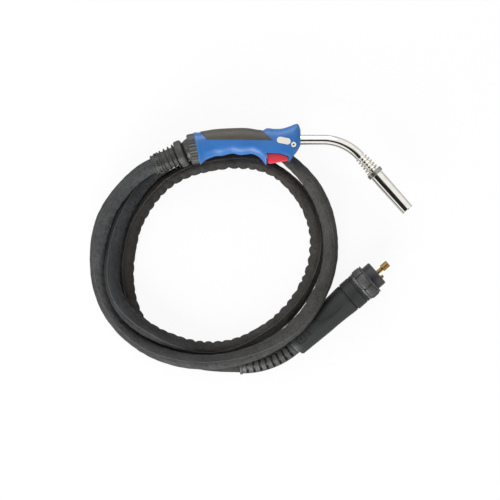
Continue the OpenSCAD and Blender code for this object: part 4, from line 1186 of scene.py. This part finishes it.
def metal(name, colour, roughness, line_mm=0.3, depth_mm=0.006, stain=None):
    """Bare or plated metal: fine lines and an uneven polish break up what it mirrors."""
    base = linear(colour)[:3]
    stain_and_crease_shade = linear(stain)[:3] if stain else [c * 0.8 for c in base]
    tints = [(0.25, stain_and_crease_shade), (0.55, base), (1.0, base)]
    rough = [(0.3, roughness * 1.5), (0.7, roughness * 0.8)]
    return clouded(name, METAL_CLOUDS, tints, rough, (1 / (line_mm * MM), 2), depth_mm,
                   Metallic=1)


def with_painted_hole_shade(made, centre, radius_mm):
    """Paints shade into the round recess of a moulded piece: a dark disc where a deep hole lies in
    shade.
    """
    tree = made.node_tree
    shader = tree.nodes["Principled BSDF"]
    offset = add(tree, "VectorMath", {0: add(tree, "TexCoord").outputs["Object"],
                                      1: (centre.x, centre.y, 0)}, operation="SUBTRACT")
    flat = add(tree, "VectorMath", {0: offset, 1: (1, 1, 0)}, operation="MULTIPLY")
    away = add(tree, "VectorMath", {0: flat}, operation="LENGTH").outputs["Value"]
    # Painted shade: inside this radius the colour turns to a dark grey
    inside = add(tree, "MapRange", {"Value": away, "From Min": (radius_mm + 0.1) * MM,
                                    "From Max": (radius_mm - 0.1) * MM})
    plain = shader.inputs["Base Color"].links[0].from_socket
    feed(shader, {"Base Color": add(tree, "MixRGB", {"Fac": inside, "Color1": plain,
                                                     "Color2": linear("#2a2c30")})})
    return made


# %% Leather sleeve of the lead
# Painted light and shade along the lead: each stretch of the coil gets the brightness that its
# light gives it, darkest on the inner turns, which lie in the shade of the outer ones; the last
# turn is also the brownest
LEAD_SHADE_AND_TONE = [(151, "#444546"), (240, "#3a3a3b"), (400, "#494845"), (500, "#2f3235"),
              (600, "#2d2d2e"), (660, "#403d39"), (900, "#302e2c")]


def sleeve_leather():
    """Dark split leather: pores and small diagonal wrinkles, with painted shade in the wrinkles'
    hollows.
    """
    made, tree, shader = new_material("sleeve_leather", Specular_IOR_Level=0.22)
    skin = add(tree, "UVMap", uv_map="UVMap")
    slanted = add(tree, "Mapping", {"Vector": skin, "Rotation": (0, 0, 0.5), "Scale": (0.7, 1, 1)})
    along = add(tree, "SeparateXYZ", {"Vector": skin}).outputs
    share = add(tree, "Math", {0: along["X"], 1: 1 / lead_length}, operation="MULTIPLY")
    # Painted shade: the lead's colour darkens stretch by stretch along the coil, most on the inner
    # turns
    base = add(tree, "ValToRGB", {"Fac": share}, [
        (nearest_ring(angle) / len(route), linear(colour)) for angle, colour in LEAD_SHADE_AND_TONE])
    # Blotches about 30 mm wide, wrinkles 3 mm apart, and pores of 1 mm
    blotch = add(tree, "TexNoise", {"Vector": skin, "Scale": 34, "Detail": 8, "Roughness": 0.65})
    mottle = add(tree, "ValToRGB", {"Fac": blotch}, [(0.3, 0.72), (0.5, 0.9), (0.7, 1.15)])
    tint = add(tree, "MixRGB", {"Fac": 1, "Color1": base, "Color2": mottle},
               blend_type="MULTIPLY")
    pores = add(tree, "TexVoronoi", {"Vector": skin, "Scale": 1000})
    wrinkles = add(tree, "TexNoise", {"Vector": slanted, "Scale": 330, "Detail": 5,
                                      "Distortion": 0.5})
    # Painted shade: the hollows of the wrinkles are darkened towards near black
    shade = add(tree, "ValToRGB", {"Fac": wrinkles}, [(0.32, 0.5), (0.5, 0.0)])
    stain_and_crease_shade = add(tree, "MixRGB", {"Fac": shade, "Color1": tint, "Color2": linear("#161514")})
    # The closing seam wanders along the outside of the turns, a little over the middle
    wander = add(tree, "TexNoise", {"Vector": skin, "Scale": 4, "Detail": 1})
    seam_at = add(tree, "Math", {0: wander, 1: 0.03, 2: -0.003}, operation="MULTIPLY_ADD")
    off_seam = add(tree, "Math", {0: along["Y"], 1: seam_at}, operation="SUBTRACT")
    away = add(tree, "Math", {0: off_seam}, operation="ABSOLUTE")
    welt = add(tree, "MapRange", {"Value": away, "From Min": 1.3 * MM, "From Max": 0.5 * MM})
    faint = add(tree, "Math", {0: welt, 1: 0.45}, operation="MULTIPLY")
    seamed = add(tree, "MixRGB", {"Fac": faint, "Color1": stain_and_crease_shade, "Color2": linear("#5a5a58")})
    relief = {}
    for height, depth_mm, strength in ((pores, 0.12, 0.6), (wrinkles, 0.8, 0.8), (welt, 0.7, 1)):
        relief = {"Normal": add(tree, "Bump", {"Height": height, "Strength": strength,
                                               "Distance": depth_mm * MM, **relief})}
    rough = add(tree, "ValToRGB", {"Fac": blotch}, [(0.3, 0.8), (0.7, 0.6)])
    feed(shader, {"Base Color": seamed, "Roughness": rough, **relief})
    return made


# %% Material of each slot
MATERIALS = {
    # Split leather is matt and wrinkled, and rubber is dull, with a wide soft shine
    "cable_jacket": sleeve_leather(),
    "cable_core": moulded("extruded_core_rubber", "#242426", 0.55),
    "sleeve_rubber": moulded("moulded_sleeve_rubber", "#383837", 0.5, 0.3, 0.03),
    "grip_rubber": moulded("moulded_olive_grip_rubber", "#444039", 0.55, 0.4, 0.04, shade=0.88),
    # Moulded polyamide has an even colour, and a satin shine from the grain of its mould
    "joint_plastic": moulded("black_joint_polyamide", "#373836", 0.42, 0.25, 0.02),
    "handle_plastic": moulded("blue_handle_polyamide", "#2968ad", 0.42, 0.28, 0.012, shade=0.95),
    "trigger_plastic": moulded("red_trigger_polyamide", "#ea3743", 0.42, 0.28, 0.012, shade=0.94),
    "housing_plastic": moulded("black_housing_polyamide", "#222324", 0.52, 0.4, 0.05,
                               Specular_IOR_Level=0.35),
    "nut_plastic": moulded("grey_nut_polyamide", "#414142", 0.5, 0.4, 0.04),
    "face_plastic": moulded("black_face_polyamide", "#2d2e32", 0.4, 0.25, 0.012),
    "switch_case": moulded("black_switch_polyamide", "#1d1d1f", 0.4),
    # ABS, acetal and PTFE are smoother, so what they reflect is a little clearer
    # The white plate's finish has painted shade: a dark disc over the round hole in its cap
    "plate_white": with_painted_hole_shade(moulded("moulded_white_plate_abs", "#dcd8cc", 0.35, shade=0.97),
                               torch_point(*CAP_AT, 0), 1.26),
    "switch_button": moulded("moulded_red_button_acetal", "#b8322c", 0.4),
    "insulator": moulded("turned_insulator_ptfe", "#e2dac6", 0.45),
    # Chrome plate over polished metal is nearly a mirror, and bright spring wire close to one
    "neck_chrome": metal("polished_neck_chrome", "#f0eeea", 0.07, 0.25, 0.001, stain="#e6e3de"),
    "nozzle_chrome": metal("polished_nozzle_chrome", "#f0eeea", 0.07, 0.25, 0.001,
                           stain="#e4e1db"),
    "spring_steel": metal("drawn_spring_steel", "#ebe7dd", 0.12, 0.2, 0.002, stain="#d2ccbf"),
    # Turned, drawn and zinc plated metal keeps fine lines, which blur what it mirrors
    "collar_grey": metal("turned_collar_steel", "#a3a29c", 0.24, 0.25, 0.006),
    "ferrule_steel": metal("zinc_plated_ferrule_steel", "#aaadb2", 0.32),
    "screw_steel": metal("zinc_plated_screw_steel", "#8d9096", 0.3, 0.2, 0.01),
    "liner": metal("drawn_liner_steel", "#8f9398", 0.35),
    "trim_metal": metal("turned_ring_aluminium", "#7d7f82", 0.5, 0.25, 0.01),
    "brass": metal("turned_brass", "#c39a4a", 0.25, stain="#8d6b2e"),
    "pin_brass": metal("turned_pin_brass", "#a38250", 0.36, 0.2, 0.01, stain="#93743f"),
    "copper": metal("drawn_copper", "#b87345", 0.28, stain="#8a5230"),
}
print("materials:", len(MATERIALS))

# %% [markdown]
# ## Putting the pieces on their bodies
#
# Each piece rides on the body that it moves with. Nodes that stay as the CAD made them
# take the material of their slot.

# %% Modelled pieces
# Each piece, its body, its slot and the nodes that it stands for
PIECES = [
    (lead, "lead", "cable_jacket", "cable_coil", "cable_head", "cable_tail"),
    (bend_sleeve, "lead", "sleeve_rubber", "cable_sleeve"),
    (bend_protector, "lead", "sleeve_rubber", "bend_protector"),
    (shells[0], "torch", "handle_plastic", "handle_shell_left"),
    (shells[1], "torch", "handle_plastic", "handle_shell_right"),
    (soft_grip, "torch", "grip_rubber", "soft_grip"),
    (short_screw, "torch", "screw_steel", "handle_screw_3"),
    (trigger_lever, "trigger", "trigger_plastic", "trigger"),
    (wound_spring, "torch", "spring_steel", "nozzle_spring"),
    (housing_upper, "lead", "housing_plastic", "housing_upper"),
    (housing_lower, "lead", "housing_plastic", "housing_lower"),
    (flange_ring, "lead", "trim_metal", "flange_ring"),
    (collar_nut, "nut", "nut_plastic", "collar_nut"),
]


def dress(piece, slot):
    """Gives a piece the material of its slot, and nothing else."""
    piece.data.materials.clear()
    piece.data.materials.append(MATERIALS[slot])


replaced = set()
for piece, body, slot, *nodes in PIECES:
    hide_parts(*nodes)
    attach(piece, body)
    dress(piece, slot)
    replaced.update(nodes)
    print(piece.name, "rides on", body, "and stands for", nodes)

# %% Nodes that stay as the CAD made them
slots = {part["node"]: part["material_slot"] for part in frame["record"]["subparts"]}
for name, node in frame["nodes"].items():
    if name not in replaced:
        dress(node, slots[name])
print("dressed", len(frame["nodes"]) - len(replaced), "CAD nodes")

# %% Polished metal out of the belly lamp
# The lamp is there for the handle's underside, and chrome would only mirror it as a white spot
polished = bpy.data.collections.new("polished_metal")
for piece in [wound_spring] + [frame["nodes"][n] for n in (
        "neck_tube", "nozzle_collar", "gas_nozzle")]:
    polished.objects.link(piece)
belly_lamp.light_linking.receiver_collection = polished
for link in polished.collection_objects:
    link.light_linking.link_state = "EXCLUDE"

# %% Sizes, and the end
visual_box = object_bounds()
for label, corners in (("CAD box", cad_box), ("visual box", visual_box)):
    print(label, [[round(v * 1000, 1) for v in c] for c in corners])
